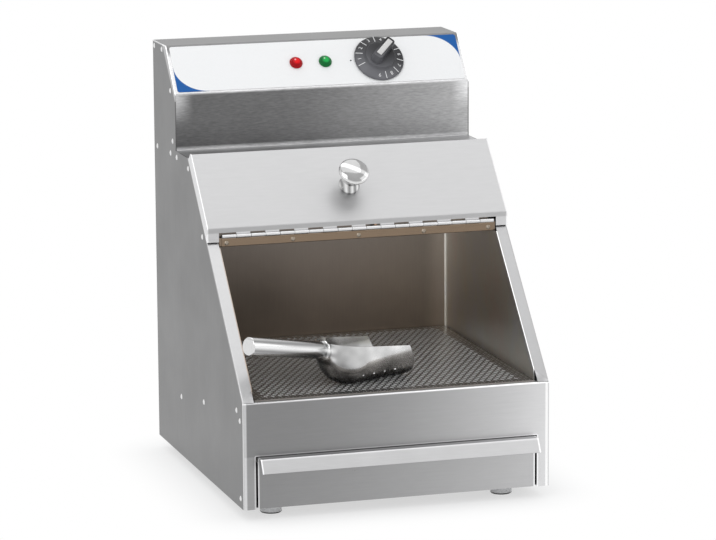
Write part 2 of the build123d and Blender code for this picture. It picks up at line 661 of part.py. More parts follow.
def hinge_leaf(first, reach, slot, upward):
    """One leaf: every second knuckle, rolled from a strip that reaches up or down."""
    side = 1 if upward else -1
    root = HINGE_Z + side * (KNUCKLE_RADIUS + slot)
    tip = HINGE_Z + side * reach
    half = HINGE_LENGTH / 2 - KNUCKLE_GAP
    leaf = block((-half, half), (LEAF_FRONT, LEAF_BACK), tuple(sorted((root, tip))))
    for index in range(first, HINGE_KNUCKLES, 2):
        low, high = knuckle_span(index)
        leaf += rod((low, HINGE_Y, HINGE_Z), (high, HINGE_Y, HINGE_Z), KNUCKLE_RADIUS)
        leaf += block((low, high), (LEAF_FRONT, LEAF_BACK), tuple(sorted((HINGE_Z, root))))
    bore = PIN_RADIUS + RUNNING_GAP
    return leaf - rod((-half - 1, HINGE_Y, HINGE_Z), (half + 1, HINGE_Y, HINGE_Z), bore)


def hinge_fixed_leaf():
    """Leaf riveted to the rail, hanging from the outer knuckles."""
    leaf = hinge_leaf(0, FIXED_LEAF, FIXED_LEAF_SLOT, False)
    for x in hinge_rivet_places():
        z = hinge_rivet_height()
        leaf -= rod((x, LEAF_FRONT - 1, z), (x, LEAF_BACK + 1, z), 1.6)
    return leaf


def hinge_pin():
    """Steel wire through all the knuckles."""
    half = HINGE_LENGTH / 2
    return rod((-half, HINGE_Y, HINGE_Z), (half, HINGE_Y, HINGE_Z), PIN_RADIUS)


# ------------------------------------------------------------------ lid
def rounded_bar(length):
    """Space the lid fits in: the full width along the slope, with rounded upper corners."""
    low = -60.0
    height = LID_DEPTH - low
    outline = Pos(0, low + height / 2) * RectangleRounded(BODY_WIDTH, height, EDGE_ROUND)
    section = Plane(origin=SLOPE.origin, x_dir=(1, 0, 0), z_dir=-SLOPE.y_dir)
    return extrude(section * outline, -length)


def lid_panel():
    """Shallow lid: face, top and side flanges, and the upright strip on the hinge."""
    foot_gap = MOVE_GAP + 0.1
    top = SLOPE_LENGTH - LID_TOP_GAP
    bend_place = (LID_STRIP_FRONT + SLOPE_RISE * LID_DEPTH) / SLOPE_RUN
    top_foot = yz(on_slope(top, foot_gap))
    top_corner = yz(on_slope(top, LID_DEPTH))
    bend = yz(on_slope(bend_place, LID_DEPTH))
    foot = (LID_STRIP_FRONT, LID_STRIP_FOOT)
    lid = folded([top_foot, top_corner, bend, foot], -HALF, HALF)
    ear = HINGE_Z - LID_EAR
    side = [top_foot, top_corner, bend, (LID_STRIP_FRONT, ear), (LEAF_FRONT, ear)]
    side.append(yz(on_slope(HINGE_PLACE, foot_gap)))
    flange = side_slab(side, INSIDE, HALF)
    strip_end = (WALL_IN + 2 * MOVE_GAP, HALF)
    flange += block(strip_end, (LID_STRIP_FRONT, LEAF_FRONT), (ear, LID_STRIP_FOOT + SHEET))
    lid = lid + flange + mirrored(flange)
    lid = lid & rounded_bar(top + 1.0)
    base = on_slope(LID_KNOB_PLACE, LID_DEPTH - 2 * SHEET, LID_KNOB_X)
    return lid - rod(base, on_slope(LID_KNOB_PLACE, LID_DEPTH + 1, LID_KNOB_X), 2.6)


def lid_knob():
    """Polished mushroom knob: collar, waisted neck and domed disc."""
    high = LID_KNOB_HEIGHT
    wide = LID_KNOB_RADIUS
    profile = [
        (0, 0),
        (wide * 0.75, 0),
        (wide * 0.75, 2.0),
        (wide * 0.55, 5.0),
        (wide * 0.36, 9.0),
        (wide * 0.34, high - 14.0),
        (wide * 0.55, high - 9.5),
        (wide * 0.94, high - 7.5),
        (wide, high - 5.0),
        (wide * 0.86, high - 2.0),
        (wide * 0.5, high - 0.5),
        (0, high),
    ]
    knob = turned(on_slope(LID_KNOB_PLACE, LID_DEPTH, LID_KNOB_X), SLOPE.z_dir, profile)
    base = on_slope(LID_KNOB_PLACE, LID_DEPTH - 1, LID_KNOB_X)
    return knob - rod(base, on_slope(LID_KNOB_PLACE, LID_DEPTH + 9, LID_KNOB_X), 2.1)


def lid_knob_screw():
    """Screw from inside the lid into the knob."""
    inner = on_slope(LID_KNOB_PLACE, LID_DEPTH - SHEET, LID_KNOB_X)
    profile = [(0, -2.4), (4.0, -2.4), (4.0, 0), (2.0, 0), (2.0, SHEET + 8.0), (0, SHEET + 8.0)]
    return turned(inner, SLOPE.z_dir, profile)


# ------------------------------------------------------------------ controls
def dial_plane():
    """Plane on the control face at the thermostat's axis, with x along the grip."""
    turn = radians(DIAL_ANGLE)
    along = CONSOLE.x_dir * cos(turn) + CONSOLE.y_dir * sin(turn)
    origin = on_console(CONTROL_LINE, FASCIA_THICKNESS, THERMOSTAT_X)
    return Plane(origin=origin, x_dir=along, z_dir=CONSOLE.z_dir)


def knob_dial():
    """Thermostat knob: skirt with the scale, hub and bar grip."""
    lift = 0.7
    skirt = [
        (0, lift),
        (DIAL_RADIUS, lift),
        (DIAL_RADIUS, lift + 1.6),
        (DIAL_RADIUS - 1.2, DIAL_SKIRT),
        (19.5, DIAL_SKIRT + 1.0),
        (18.0, DIAL_SKIRT + 6.0),
        (0, DIAL_SKIRT + 6.0),
    ]
    knob = turned((0, 0, 0), (0, 0, 1), skirt)
    foot = Plane.XY.offset(DIAL_SKIRT - 1.0) * SlotOverall(GRIP_LENGTH, GRIP_WIDTH)
    crown = Plane.XY.offset(GRIP_HEIGHT) * SlotOverall(GRIP_LENGTH - 4.0, GRIP_WIDTH - 3.0)
    knob += loft([foot.face(), crown.face()])
    knob -= Pos(INSERT_SHIFT, 0, GRIP_HEIGHT) * Box(*INSERT_SIZE, 1.6)
    knob -= Pos(0, 0, lift) * Cylinder(SHAFT_RADIUS, 2 * 12.0)
    return Location(dial_plane()) * knob


def knob_insert():
    """Light strip let into the top of the grip."""
    return Location(dial_plane()) * Pos(INSERT_SHIFT, 0, GRIP_HEIGHT - 0.25) * Box(*INSERT_SIZE, 1.1)


def thermostat_shaft():
    """Round shaft from the thermostat into the knob."""
    plane = Location(dial_plane())
    return plane * Pos(0, 0, (12.0 - 10.0) / 2) * Cylinder(SHAFT_RADIUS - 0.01, 22.0)


def thermostat_body():
    """Capillary thermostat behind the control face, with its threaded bush and nut."""
    wide, tall, deep = THERMOSTAT_BODY
    seat = -SHEET - FASCIA_THICKNESS
    body = Pos(0, 0, seat - deep / 2) * Box(wide, tall, deep)
    body += Pos(0, 0, seat / 2) * Cylinder(BUSHING_RADIUS, -seat)
    body -= Pos(0, 0, seat) * Cylinder(SHAFT_RADIUS + RUNNING_GAP, 2 * 12.0)
    origin = on_console(CONTROL_LINE, FASCIA_THICKNESS, THERMOSTAT_X)
    return Location(Plane(origin=origin, x_dir=(1, 0, 0), z_dir=CONSOLE.z_dir)) * body


def pilot_lens(x):
    """Domed lens of a pilot lamp."""
    profile = [
        (0, 0),
        (LENS_RADIUS, 0),
        (LENS_RADIUS, 1.2),
        (LENS_RADIUS - 1.4, 2.0),
        (LENS_RADIUS - 2.0, 3.6),
        (LENS_RADIUS - 4.0, 5.0),
        (0, 5.6),
    ]
    origin = on_console(CONTROL_LINE, FASCIA_THICKNESS, x)
    return turned(origin, CONSOLE.z_dir, profile)


def pilot_lamp_bodies():
    """Lamp holders behind the lenses, each with its locking ring inside the console."""
    seat = -SHEET - FASCIA_THICKNESS
    profile = [
        (0, 0),
        (LAMP_RADIUS, 0),
        (LAMP_RADIUS, seat),
        (LAMP_RADIUS + 2.8, seat),
        (LAMP_RADIUS + 2.8, seat - 3.5),
        (LAMP_RADIUS, seat - 3.5),
        (LAMP_RADIUS, seat - 26.0),
        (0, seat - 26.0),
    ]
    origins = [on_console(CONTROL_LINE, FASCIA_THICKNESS, x) for x in (RED_LAMP_X, GREEN_LAMP_X)]
    return group([turned(o, CONSOLE.z_dir, profile) for o in origins])


# ------------------------------------------------------------------ heating and wiring
def heating_element():
    """Tubular element: a wide U under the ceiling, with both ends bent up into the box."""
    half = ELEMENT_HALF_SPAN
    joint = (ELEMENT_FRONT + ELEMENT_BACK) / 2
    loop = FilletPolyline(
        (half, joint), (half, ELEMENT_FRONT), (-half, ELEMENT_FRONT), (-half, joint), radius=ELEMENT_BEND
    )
    ring = Plane(origin=(half, joint, ELEMENT_HEIGHT), z_dir=(0, -1, 0)) * Circle(ELEMENT_RADIUS)
    tube = sweep(ring, Pos(0, 0, ELEMENT_HEIGHT) * loop)
    rise = FilletPolyline(
        (joint, ELEMENT_HEIGHT),
        (ELEMENT_BACK, ELEMENT_HEIGHT),
        (ELEMENT_BACK, ELEMENT_TERMINAL_TOP),
        radius=TERMINAL_BEND,
    )
    for x in (-half, half):
        ring = Plane(origin=(x, joint, ELEMENT_HEIGHT), z_dir=(0, 1, 0)) * Circle(ELEMENT_RADIUS)
        tube += sweep(ring, Plane.YZ.offset(x) * rise)
    return tube


def reflector():
    """Bright trough over the element, against the ceiling."""
    top = CEILING_HEIGHT - SHEET
    low = top - REFLECTOR_DEPTH
    front = ELEMENT_FRONT - REFLECTOR_FLAT[0]
    back = ELEMENT_FRONT + REFLECTOR_FLAT[1]
    path = [(back + REFLECTOR_FLARE, low), (back, top), (front, top), (front - REFLECTOR_FLARE, low)]
    end = ELEMENT_HALF_SPAN + REFLECTOR_END
    return folded(path, -end, end, sheet=REFLECTOR_SHEET)


def element_clips():
    """Hangers that hold the element under the reflector."""
    top = CEILING_HEIGHT - SHEET - REFLECTOR_SHEET
    sheet, width = CLIP_SIZE
    clips = []
    for share in CLIP_STATIONS:
        x = share * ELEMENT_HALF_SPAN
        y = (ELEMENT_FRONT - width / 2, ELEMENT_FRONT + width / 2)
        clip = block((x - sheet / 2, x + sheet / 2), y, (ELEMENT_HEIGHT - width / 2, top))
        start = (x - sheet, ELEMENT_FRONT, ELEMENT_HEIGHT)
        clip -= rod(start, (x + sheet, ELEMENT_FRONT, ELEMENT_HEIGHT), ELEMENT_RADIUS + RUNNING_GAP)
        clips.append(clip)
    return group(clips)


def thermostat_bulb():
    """Sensing bulb on the bin's back wall, with its capillary up to the thermostat."""
    x = THERMOSTAT_X
    back_face = on_console(CONTROL_LINE, -SHEET - THERMOSTAT_BODY[2], x)
    drop = (back_face.Y - BULB_Y) / CONSOLE_RUN
    centre_line = back_face.Z - drop * CONSOLE_RISE
    capillary_top = centre_line - CAPILLARY_RADIUS * CONSOLE_RISE / CONSOLE_RUN
    bulb = rod((x, BULB_Y, BULB_TOP - BULB_LENGTH), (x, BULB_Y, BULB_TOP), BULB_RADIUS)
    return bulb + rod((x, BULB_Y, BULB_TOP), (x, BULB_Y, capillary_top), CAPILLARY_RADIUS)


def bulb_clips():
    """Two rings that hold the bulb off the back wall."""
    x = THERMOSTAT_X
    clips = []
    for z in (BULB_TOP - 18.0, BULB_TOP - BULB_LENGTH + 10.0):
        clip = rod((x, BULB_Y, z), (x, BULB_Y, z + 8.0), BULB_RADIUS + 1.2)
        clip += block((x - 3.0, x + 3.0), (BULB_Y, BIN_DEPTH), (z, z + 8.0))
        clip -= rod((x, BULB_Y, z - 1), (x, BULB_Y, z + 9.0), BULB_RADIUS + RUNNING_GAP)
        clips.append(clip)
    return group(clips)


def terminal_block():
    """Ceramic block on the ceiling plate, where the supply meets the element's leads."""
    base = CEILING_HEIGHT
    shoulder, top = [base + height for height in TERMINAL_HEIGHTS]
    start, end = TERMINAL_SPAN
    front = BIN_DEPTH + 1.5
    middle = front + TERMINAL_DEPTH / 2
    ceramic = block((start, end), (front, front + TERMINAL_DEPTH), (base, shoulder))
    for index in range(TERMINAL_POLES):
        x = start + (end - start) * (index + 0.5) / TERMINAL_POLES
        pole_x = (x - POLE_WIDTH / 2, x + POLE_WIDTH / 2)
        ceramic += block(pole_x, (front + 3, front + TERMINAL_DEPTH - 3), (shoulder, top))
        for y in (middle - TERMINAL_DEPTH / 6, middle + TERMINAL_DEPTH / 6):
            ceramic -= rod((x, y, shoulder - 2), (x, y, top + 1), POLE_DRILL)
    return ceramic


def cable_gland():
    """Gland of the supply lead, with its clamping nut outside the back panel."""
    x, z = GLAND_PLACE
    thread = 9.0
    profile = [
        (3.9, -thread),
        (GLAND_RADIUS, -thread),
        (GLAND_RADIUS, 0),
        (GLAND_RADIUS + 3.2, 0),
        (GLAND_RADIUS + 3.2, 5.0),
        (GLAND_RADIUS + 1.5, 5.0),
        (GLAND_RADIUS + 1.2, GLAND_REACH - 4.0),
        (5.6, GLAND_REACH),
        (3.9, GLAND_REACH),
    ]
    return turned((x, BODY_DEPTH, z), (0, 1, 0), profile)


def gland_nut():
    """Locking nut of the gland, inside the back panel."""
    x, z = GLAND_PLACE
    seat = BACK_INSIDE - GLAND_NUT_HEIGHT
    nut = Plane(origin=(x, seat, z), z_dir=(0, 1, 0)) * RegularPolygon(GLAND_NUT_RADIUS, 6)
    bore = rod((x, seat - 1, z), (x, BACK_INSIDE + 1, z), GLAND_RADIUS + 0.02)
    return extrude(nut, GLAND_NUT_HEIGHT) - bore


# ------------------------------------------------------------------ feet and fasteners
def feet():
    """Turned feet with a recess for their screws."""
    ground = -FOOT_HEIGHT
    profile = [
        (SCREW_RADIUS + HOLE_GAP, SHEET),
        (FOOT_RADIUS - 0.6, SHEET),
        (FOOT_RADIUS, ground + 3.0),
        (FOOT_RADIUS, ground + 0.8),
        (FOOT_RADIUS - 0.8, ground),
        (6.0, ground),
        (6.0, ground + 7.0),
        (SCREW_RADIUS + HOLE_GAP, ground + 7.0),
    ]
    return group([turned((x, y, 0), (0, 0, 1), profile) for x, y in foot_places()])


def foot_screws():
    """Screws up through the feet into their nuts on the bottom plate."""
    seat = -FOOT_HEIGHT + 7.0
    nut = 2 * SHEET
    profile = [
        (0, seat - SCREW_HEAD_HEIGHT),
        (SCREW_HEAD, seat - SCREW_HEAD_HEIGHT),
        (SCREW_HEAD, seat),
        (SCREW_RADIUS, seat),
        (SCREW_RADIUS, nut),
        (SCREW_HEAD, nut),
        (SCREW_HEAD, nut + 3.0),
        (0, nut + 3.0),
    ]
    return group([turned((x, y, 0), (0, 0, 1), profile) for x, y in foot_places()])


def side_rivets():
    """All the rivets of both side panels."""
    right = [side_rivet(y, z) for y, z in ALL_RIVETS]
    return group(right + [mirrored(rivet) for rivet in right])


# ------------------------------------------------------------------ drawer
def drawer_front():
    """Drawer front with its top folded forward and down into a full-width handle."""
    half = DRAWER_OPENING_WIDTH / 2 - DRAWER_FRONT_GAP
    top = DRAWER_FRONT_TOP
    plate = block((-half, half), (0, SHEET), (DRAWER_FRONT_FOOT, top))
    shelf_end = (-HANDLE_SHELF, top)
    lip_end = (-HANDLE_SHELF - HANDLE_LIP[0], top - HANDLE_LIP[1])
    return plate + folded([(SHEET, top), shelf_end, lip_end], -half, half)


def drawer_pan():
    """Open pan with an outward rim along its sides and back."""
    half = DRAWER_PAN_WIDTH / 2
    low = DRAWER_PAN_FLOOR
    high = low + DRAWER_PAN_HEIGHT
    end = SHEET + DRAWER_LENGTH
    pan = block((-half, half), (SHEET, end), (low, high))
    pan -= block((-half + SHEET, half - SHEET), (2 * SHEET, end - SHEET), (low + SHEET, high + 1))
    rim = block((half - SHEET, half + DRAWER_RIM + SHEET), (SHEET, end), (high - SHEET, high))
    return pan + rim + mirrored(rim)


# ------------------------------------------------------------------ tray
def perforated_tray():
    """Loose tray that the chips lie on, with staggered holes inside a plain border."""
    half = WALL_IN - TRAY_SIDE_GAP
    y_low = TRAY_FRONT
    y_high = BIN_DEPTH - TRAY_SIDE_GAP
    tray = block((-half, half), (y_low, y_high), (TRAY_BOTTOM, TRAY_TOP))
    row_pitch = TRAY_PITCH * sin(radians(60))
    rows = int((y_high - y_low - 2 * TRAY_MARGIN) / row_pitch)
    middle = (y_low + y_high) / 2
    holes = []
    for row in range(rows):
        y = middle + (row - (rows - 1) / 2) * row_pitch
        count = int((2 * half - 2 * TRAY_MARGIN) / TRAY_PITCH) - row % 2
        for column in range(count):
            x = (column - (count - 1) / 2) * TRAY_PITCH
            holes.append(Pos(x, y) * RegularPolygon(TRAY_HOLE / 2, 6))
    pattern = Sketch() + holes
    cutter = extrude(Plane.XY.offset(TRAY_BOTTOM - 1) * pattern, TRAY_SHEET + 2)
    return tray - cutter


# ------------------------------------------------------------------ scoop
def scoop_frame():
    """Frame on the tray under the scoop's collar, with x towards the tip of its bowl."""
    return Pos(*SCOOP_HEEL, TRAY_TOP + MOVE_GAP) * Rot(0, 0, SCOOP_TURN)


def bowl_solid(radius, length, top):
    """Round-bottomed trough with a round heel, filled up to a height."""
    centre = BOWL_RADIUS
    section = Plane.YZ.offset(centre) * (Pos(0, centre) * Circle(radius))
    trough = extrude(section, length - centre)
    trough += block((centre, length), (-radius, radius), (centre, top))
    trough += Pos(centre, 0, centre) * Sphere(radius)
    return trough + Pos(centre, 0, (centre + top) / 2) * Cylinder(radius, top - centre)


def bowl_cutter():
    """Everything above the falling rim and beyond the raked mouth."""
    tip_rim = BOWL_RIM[1]
    outline = [
        (-50, BOWL_RIM[0] - 50 * (tip_rim - BOWL_RIM[0]) / BOWL_LENGTH),
        (BOWL_LENGTH - BOWL_RAKE, tip_rim + BOWL_RAKE * (BOWL_RIM[0] - tip_rim) / BOWL_LENGTH),
        (BOWL_LENGTH, 6.0),
        (BOWL_LENGTH, -5.0),
        (BOWL_LENGTH + 60, -5.0),
        (BOWL_LENGTH + 60, 150),
        (-50, 150),
    ]
    return extrude(Plane.XZ * make_face(Polyline(*outline, close=True)), 80, both=True)


def bowl_holes():
    """Drain holes through the bowl, in staggered rows round its bottom."""
    holes = []
    for row in range(-2, 3):
        turn = Rot(row * 26.0, 0, 0)
        for index in range(4):
            place = BOWL_RADIUS + index * 16.0 + (row % 2) * 8.0
            drill = Pos(0, 0, -BOWL_RADIUS) * Cylinder(BOWL_HOLE / 2, 12.0)
            holes.append(Pos(place, 0, BOWL_RADIUS) * turn * drill)
    return holes


def scoop_bowl():
    """Perforated bowl: sheet trough, open above and at its raked mouth."""
    outer = bowl_solid(BOWL_RADIUS, BOWL_LENGTH, 62.0)
    inner = bowl_solid(BOWL_RADIUS - BOWL_SHEET, BOWL_LENGTH + 5, 66.0)
    bowl = outer - inner - bowl_cutter() - bowl_holes()
    return scoop_frame() * bowl


def handle_frame():
    """Frame at the collar with z along the handle, away from the bowl."""
    rise = radians(SCOOP_HANDLE_RISE)
    origin = (0, 0, SCOOP_COLLAR_HEIGHT)
    return scoop_frame() * Location(Plane(origin=origin, z_dir=(-cos(rise), 0, sin(rise))))


def scoop_collar():
    """Stepped ferrule between the bowl and the handle."""
    r = SCOOP_HANDLE_RADIUS
    end = SCOOP_COLLAR_END
    profile = [
        (0, -7.0),
        (r + 2.2, -7.0),
        (r + 1.8, end - 3.0),
        (r + 0.9, end - 2.2),
        (r + 1.6, end - 1.2),
        (r + 1.2, end),
        (0, end),
    ]
    collar = revolve(Plane.XZ * make_face(Polyline(*profile, close=True)), Axis.Z)
    return handle_frame() * collar - scoop_frame() * bowl_solid(BOWL_RADIUS, BOWL_LENGTH, 70.0)


def scoop_handle():
    """Tubular handle with a flat welded end."""
    r = SCOOP_HANDLE_RADIUS
    start = SCOOP_COLLAR_END
    end = SCOOP_HANDLE_LENGTH
    bore = r - SCOOP_HANDLE_WALL
    cap = end - SCOOP_HANDLE_WALL
    outside = [(bore, start), (r, start), (r, end - 1.0), (r - 1.0, end), (0, end)]
    profile = outside + [(0, cap), (bore, cap)]
    handle = revolve(Plane.XZ * make_face(Polyline(*profile, close=True)), Axis.Z)
    return handle_frame() * handle


# ------------------------------------------------------------------ the assembly
def pieces():
    """Every node of the part, by name."""
    wall = inner_wall()
    spacer = wall_spacer()
    support = tray_support()
    runner = drawer_runner()
    panel = side_panel()
    return {
        "side_panel_right": panel,
        "side_panel_left": mirrored(panel),
        "upper_shell": upper_shell(),
        "control_fascia": control_fascia(),
        "back_panel": back_panel(),
        "bottom_plate": bottom_plate(),
        "lower_front_panel": lower_front_panel(),
        "ceiling_plate": ceiling_plate(),
        "bin_back_wall": bin_back_wall(),
        "inner_wall_right": wall,
        "inner_wall_left": mirrored(wall),
        "wall_spacer_right": spacer,
        "wall_spacer_left": mirrored(spacer),
        "tray_support_right": support,
        "tray_support_left": mirrored(support),
        "drawer_runner_right": runner,
        "drawer_runner_left": mirrored(runner),
        "hinge_rail": hinge_rail(),
        "hinge_fixed_leaf": hinge_fixed_leaf(),
        "hinge_lid_leaf": hinge_leaf(1, LID_LEAF, LID_LEAF_SLOT, True),
        "hinge_pin": hinge_pin(),
        "hinge_rivets": hinge_rivets(),
        "lid_panel": lid_panel(),
        "lid_knob": lid_knob(),
        "lid_knob_screw": lid_knob_screw(),
        "knob_dial": knob_dial(),
        "knob_insert": knob_insert(),
        "thermostat_shaft": thermostat_shaft(),
        "thermostat_body": thermostat_body(),
        "thermostat_bulb": thermostat_bulb(),
        "bulb_clips": bulb_clips(),
        "pilot_lens_red": pilot_lens(RED_LAMP_X),
        "pilot_lens_green": pilot_lens(GREEN_LAMP_X),
        "pilot_lamp_bodies": pilot_lamp_bodies(),
        "heating_element": heating_element(),
        "reflector": reflector(),
        "element_clips": element_clips(),
        "terminal_block": terminal_block(),
        "cable_gland": cable_gland(),
        "gland_nut": gland_nut(),
        "feet": feet(),
        "foot_screws": foot_screws(),
        "side_rivets": side_rivets(),
        "back_screws": back_screws(),
        "drawer_front": drawer_front(),
        "drawer_pan": drawer_pan(),
        "perforated_tray": perforated_tray(),
        "scoop_bowl": scoop_bowl(),
        "scoop_collar": scoop_collar(),
        "scoop_handle": scoop_handle(),
    }


def main():
    os.makedirs("parts", exist_ok=True)
    for name, shape in pieces().items():
        export_step(STAND * shape, f"parts/{name}.step")


main()
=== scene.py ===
from math import cos, pi, radians, sin

import bmesh
import bpy
from mathutils import Matrix, Vector

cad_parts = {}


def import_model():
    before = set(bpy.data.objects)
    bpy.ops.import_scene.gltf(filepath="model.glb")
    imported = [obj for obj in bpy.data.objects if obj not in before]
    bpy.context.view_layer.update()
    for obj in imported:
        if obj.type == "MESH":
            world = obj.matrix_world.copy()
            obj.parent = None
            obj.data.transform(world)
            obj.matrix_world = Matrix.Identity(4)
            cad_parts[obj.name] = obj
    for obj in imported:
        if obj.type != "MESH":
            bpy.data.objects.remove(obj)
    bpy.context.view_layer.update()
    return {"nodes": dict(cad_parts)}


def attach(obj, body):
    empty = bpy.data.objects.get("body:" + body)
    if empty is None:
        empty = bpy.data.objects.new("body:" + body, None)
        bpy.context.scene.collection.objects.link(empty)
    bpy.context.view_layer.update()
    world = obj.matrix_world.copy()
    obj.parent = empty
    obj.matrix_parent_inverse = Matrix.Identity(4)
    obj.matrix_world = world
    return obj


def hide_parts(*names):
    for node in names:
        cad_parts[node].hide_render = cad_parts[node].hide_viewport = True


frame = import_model()

# ------------------------------------------------------------------ the cabinet's own places
# Places are in millimetres: x from the middle, y back from the front face, z up from the body.
MM = 0.001
STAND = Vector((0, -191.25, 14.5))        # from those axes to the part's own
BODY_HALF = 180.0
BODY_TOP = 480.0
LEDGE_HEIGHT = 364.0
LEDGE_FRONT = 228.5
CONSOLE_FOOT = 427.5
CONSOLE_HEAD = 470.0
BIN_HALF = 164.9
BIN_BACK = 326.0
OPENING_HALF = 165.0                      # of the drawer's opening
OPENING_TOP = 60.5
LIP_HEIGHT = 121.4
SLOPE = Vector((0, 0.68625, 0.72737))     # up the slanted opening
SLOPE_OUT = Vector((0, -0.72737, 0.68625))
CONSOLE_EDGE = Vector((0, 283.0, 428.4))
CONSOLE = Vector((0, 0.63127, 0.77556))   # up the sloped control face
CONSOLE_OUT = Vector((0, -0.77556, 0.63127))
CONTROL_LINE = 34.4
FASCIA = 0.5
THERMOSTAT_X = 74.7
DIAL_RADIUS = 30.0
DIAL_ANGLE = 45.0
RED_LAMP_X = -27.2
GREEN_LAMP_X = 8.6
GRIP = (36.0, 14.4, 19.0)
GRIP_SHIFT = 3.0
GRIP_TOP = 23.0
INSERT_SIZE = (25.0, 6.6, 1.1)
INSERT_SHIFT = 4.0
SCALE_STATIONS = 18
SCALE_START = 200.0                       # degrees, then clockwise
SCALE_SWEEP = 300.0
SCALE_RADIUS = 24.7
SCALE_HEIGHT = 4.85
SKIRT_TILT = 15.2
NUMBER_HEIGHT = 6.4
TICK_SIZE = (9.4, 0.8, 0.1)
INDEX_X = 40.2                            # of the dot beside the dial
LOW_LEFT = (-138.0, 35.4, 38.0, 33.0, -1)  # blue corners, as corner() takes them
HIGH_RIGHT = (136.0, 28.1, 40.0, 36.0, 1)
BLUE = (0.004, 0.10, 0.36, 1)
INK = (0.03, 0.03, 0.03, 1)
LID_DEPTH = 13.2
LID_FOLD = 219.6                          # up the slope
LID_KNOB = Vector((-2.0, 271.5, 0))
HINGE_Y = 143.4
HINGE_Z = 283.56
HINGE_LENGTH = 326.0
KNUCKLES = 19
KNUCKLE_GAP = 0.6
PIN_RADIUS = 1.35
ROLL_RADIUS = 2.34
TRAY_SIZE = (328.4, 321.2, 1.2)
TRAY_MIDDLE = Vector((0, 166.6, 121.7))
TRAY_PITCH = 8.2
TRAY_HOLE = 2.5
TRAY_BORDER = (24.0, 22.0)                # plain edges, both sides together
STRIP_MIDDLE = 173.2
DRAWER_HALF = 163.1
DRAWER_TOP = 59.7
DRAWER_SHEET = 1.0
HANDLE_SHELF = 12.0
HANDLE_LIP = Vector((9.0, 14.8))
SCOOP_HEEL = Vector((-74.5, 41.5, 123.2))
SCOOP_TURN = 25.1
SCOOP_RISE = 10.7
COLLAR = 43.5
TUBE_RADIUS = 10.2
TUBE_BORE = 8.9
TUBE_END = 112.0
REFLECTION_TINT = (1.0, 0.74, 0.52)                  # colour of the painted warm reflection on the steel of the bin
FOOT_X = 137.0
FOOT_ROWS = (42.0, 343.0)
SPACER_RIVETS = [(20.8 + 285.0 * share, 109.7 - 43.6 * share) for share in (0.016, 0.52, 0.885)]
RIVETS = [                                # y and z, on both side panels
    (378.0, 474.0), (342.0, 474.0), (304.0, 430.0), (296.5, 371.5), (278.0, 355.0), (225.6, 350.0),
    (307.0, 356.0), (370.0, 355.0), (165.6, 280.56), (12.0, 99.5), (12.0, 11.0),
] + SPACER_RIVETS


def mesh_to_part():
    """From the cabinet's millimetres to the part's metres."""
    return Matrix.Scale(MM, 4) @ Matrix.Translation(STAND)


def axes(origin, x_dir, z_dir):
    """A placing with its own x and z directions."""
    z_dir = Vector(z_dir).normalized()
    x_dir = Vector(x_dir)
    x_dir = (x_dir - z_dir * x_dir.dot(z_dir)).normalized()
    y_dir = z_dir.cross(x_dir)
    turned = Matrix((x_dir, y_dir, z_dir)).transposed().to_4x4()
    return Matrix.Translation(Vector(origin)) @ turned


def on_slope(place, height, x=0.0):
    """Placing on the slanted opening: x across, y up the slope, z outwards."""
    origin = Vector((x, 0, LIP_HEIGHT)) + SLOPE * place + SLOPE_OUT * height
    return axes(origin, (1, 0, 0), SLOPE_OUT)


def on_console(place, height, x=0.0):
    """Placing on the control face: x across, y up the slope, z outwards."""
    origin = Vector((x, 0, 0)) + CONSOLE_EDGE + CONSOLE * place + CONSOLE_OUT * height
    return axes(origin, (1, 0, 0), CONSOLE_OUT)


# ------------------------------------------------------------------ finishes
class Value:
    """A number that varies over a surface. Arithmetic on it adds the nodes."""

    def __init__(self, finish, socket):
        self.finish = finish
        self.socket = socket

    def math(self, operation, *others, **settings):
        """One Math node on this value and others."""
        inputs = {0: self.socket}
        for index, other in enumerate(others):
            inputs[index + 1] = other
        node = self.finish.node("ShaderNodeMath", {"operation": operation, **settings}, inputs)
        return Value(self.finish, node.outputs[0])

    def __add__(self, other):
        return self.math("ADD", other)

    __radd__ = __add__

    def __mul__(self, other):
        return self.math("MULTIPLY", other)

    __rmul__ = __mul__

    def __sub__(self, other):
        return self.math("SUBTRACT", other)

    def __rsub__(self, other):
        return self * -1 + other

    def __truediv__(self, other):
        return self.math("DIVIDE", other)

    def __pow__(self, other):
        return self.math("POWER", other)

    def __abs__(self):
        return self.math("ABSOLUTE")

    def least(self, other):
        return self.math("MINIMUM", other)

    def most(self, other):
        return self.math("MAXIMUM", other)

    def above(self, edge, soft):
        """0 below an edge and 1 above it, with a soft step."""
        settings = {"interpolation_type": "SMOOTHSTEP"}
        inputs = {"Value": self, "From Min": edge - soft, "From Max": edge + soft}
        node = self.finish.node("ShaderNodeMapRange", settings, inputs)
        return Value(self.finish, node.outputs[0])

    def below(self, edge, soft):
        return 1 - self.above(edge, soft)


class Tree:
    """The nodes of one shader."""

    def __init__(self, tree):
        self.tree = tree

    def node(self, kind, settings=None, inputs=None):
        """Adds a node: its settings first, then its sockets' values or links."""
        node = self.tree.nodes.new(kind)
        for key, value in (settings or {}).items():
            setattr(node, key, value)
        for key, value in (inputs or {}).items():
            self.feed(node.inputs[key], value)
        return node

    def feed(self, socket, value):
        if isinstance(value, Value):
            value = value.socket
        if isinstance(value, bpy.types.NodeSocket):
            self.tree.links.new(value, socket)
        else:
            socket.default_value = value

    def seen(self):
        """1 for what the camera, metal or glass sees directly, 0 for the rest."""
        rays = self.node("ShaderNodeLightPath").outputs
        camera_ray = Value(self, rays["Is Camera Ray"])
        return (camera_ray + rays["Is Glossy Ray"] + rays["Is Transmission Ray"]).least(1.0)

    def blend(self, share, plain, white):
        """The mix of two shaders."""
        inputs = {0: share, 1: plain.outputs[0], 2: white.outputs[0]}
        return self.node("ShaderNodeMixShader", None, inputs).outputs[0]


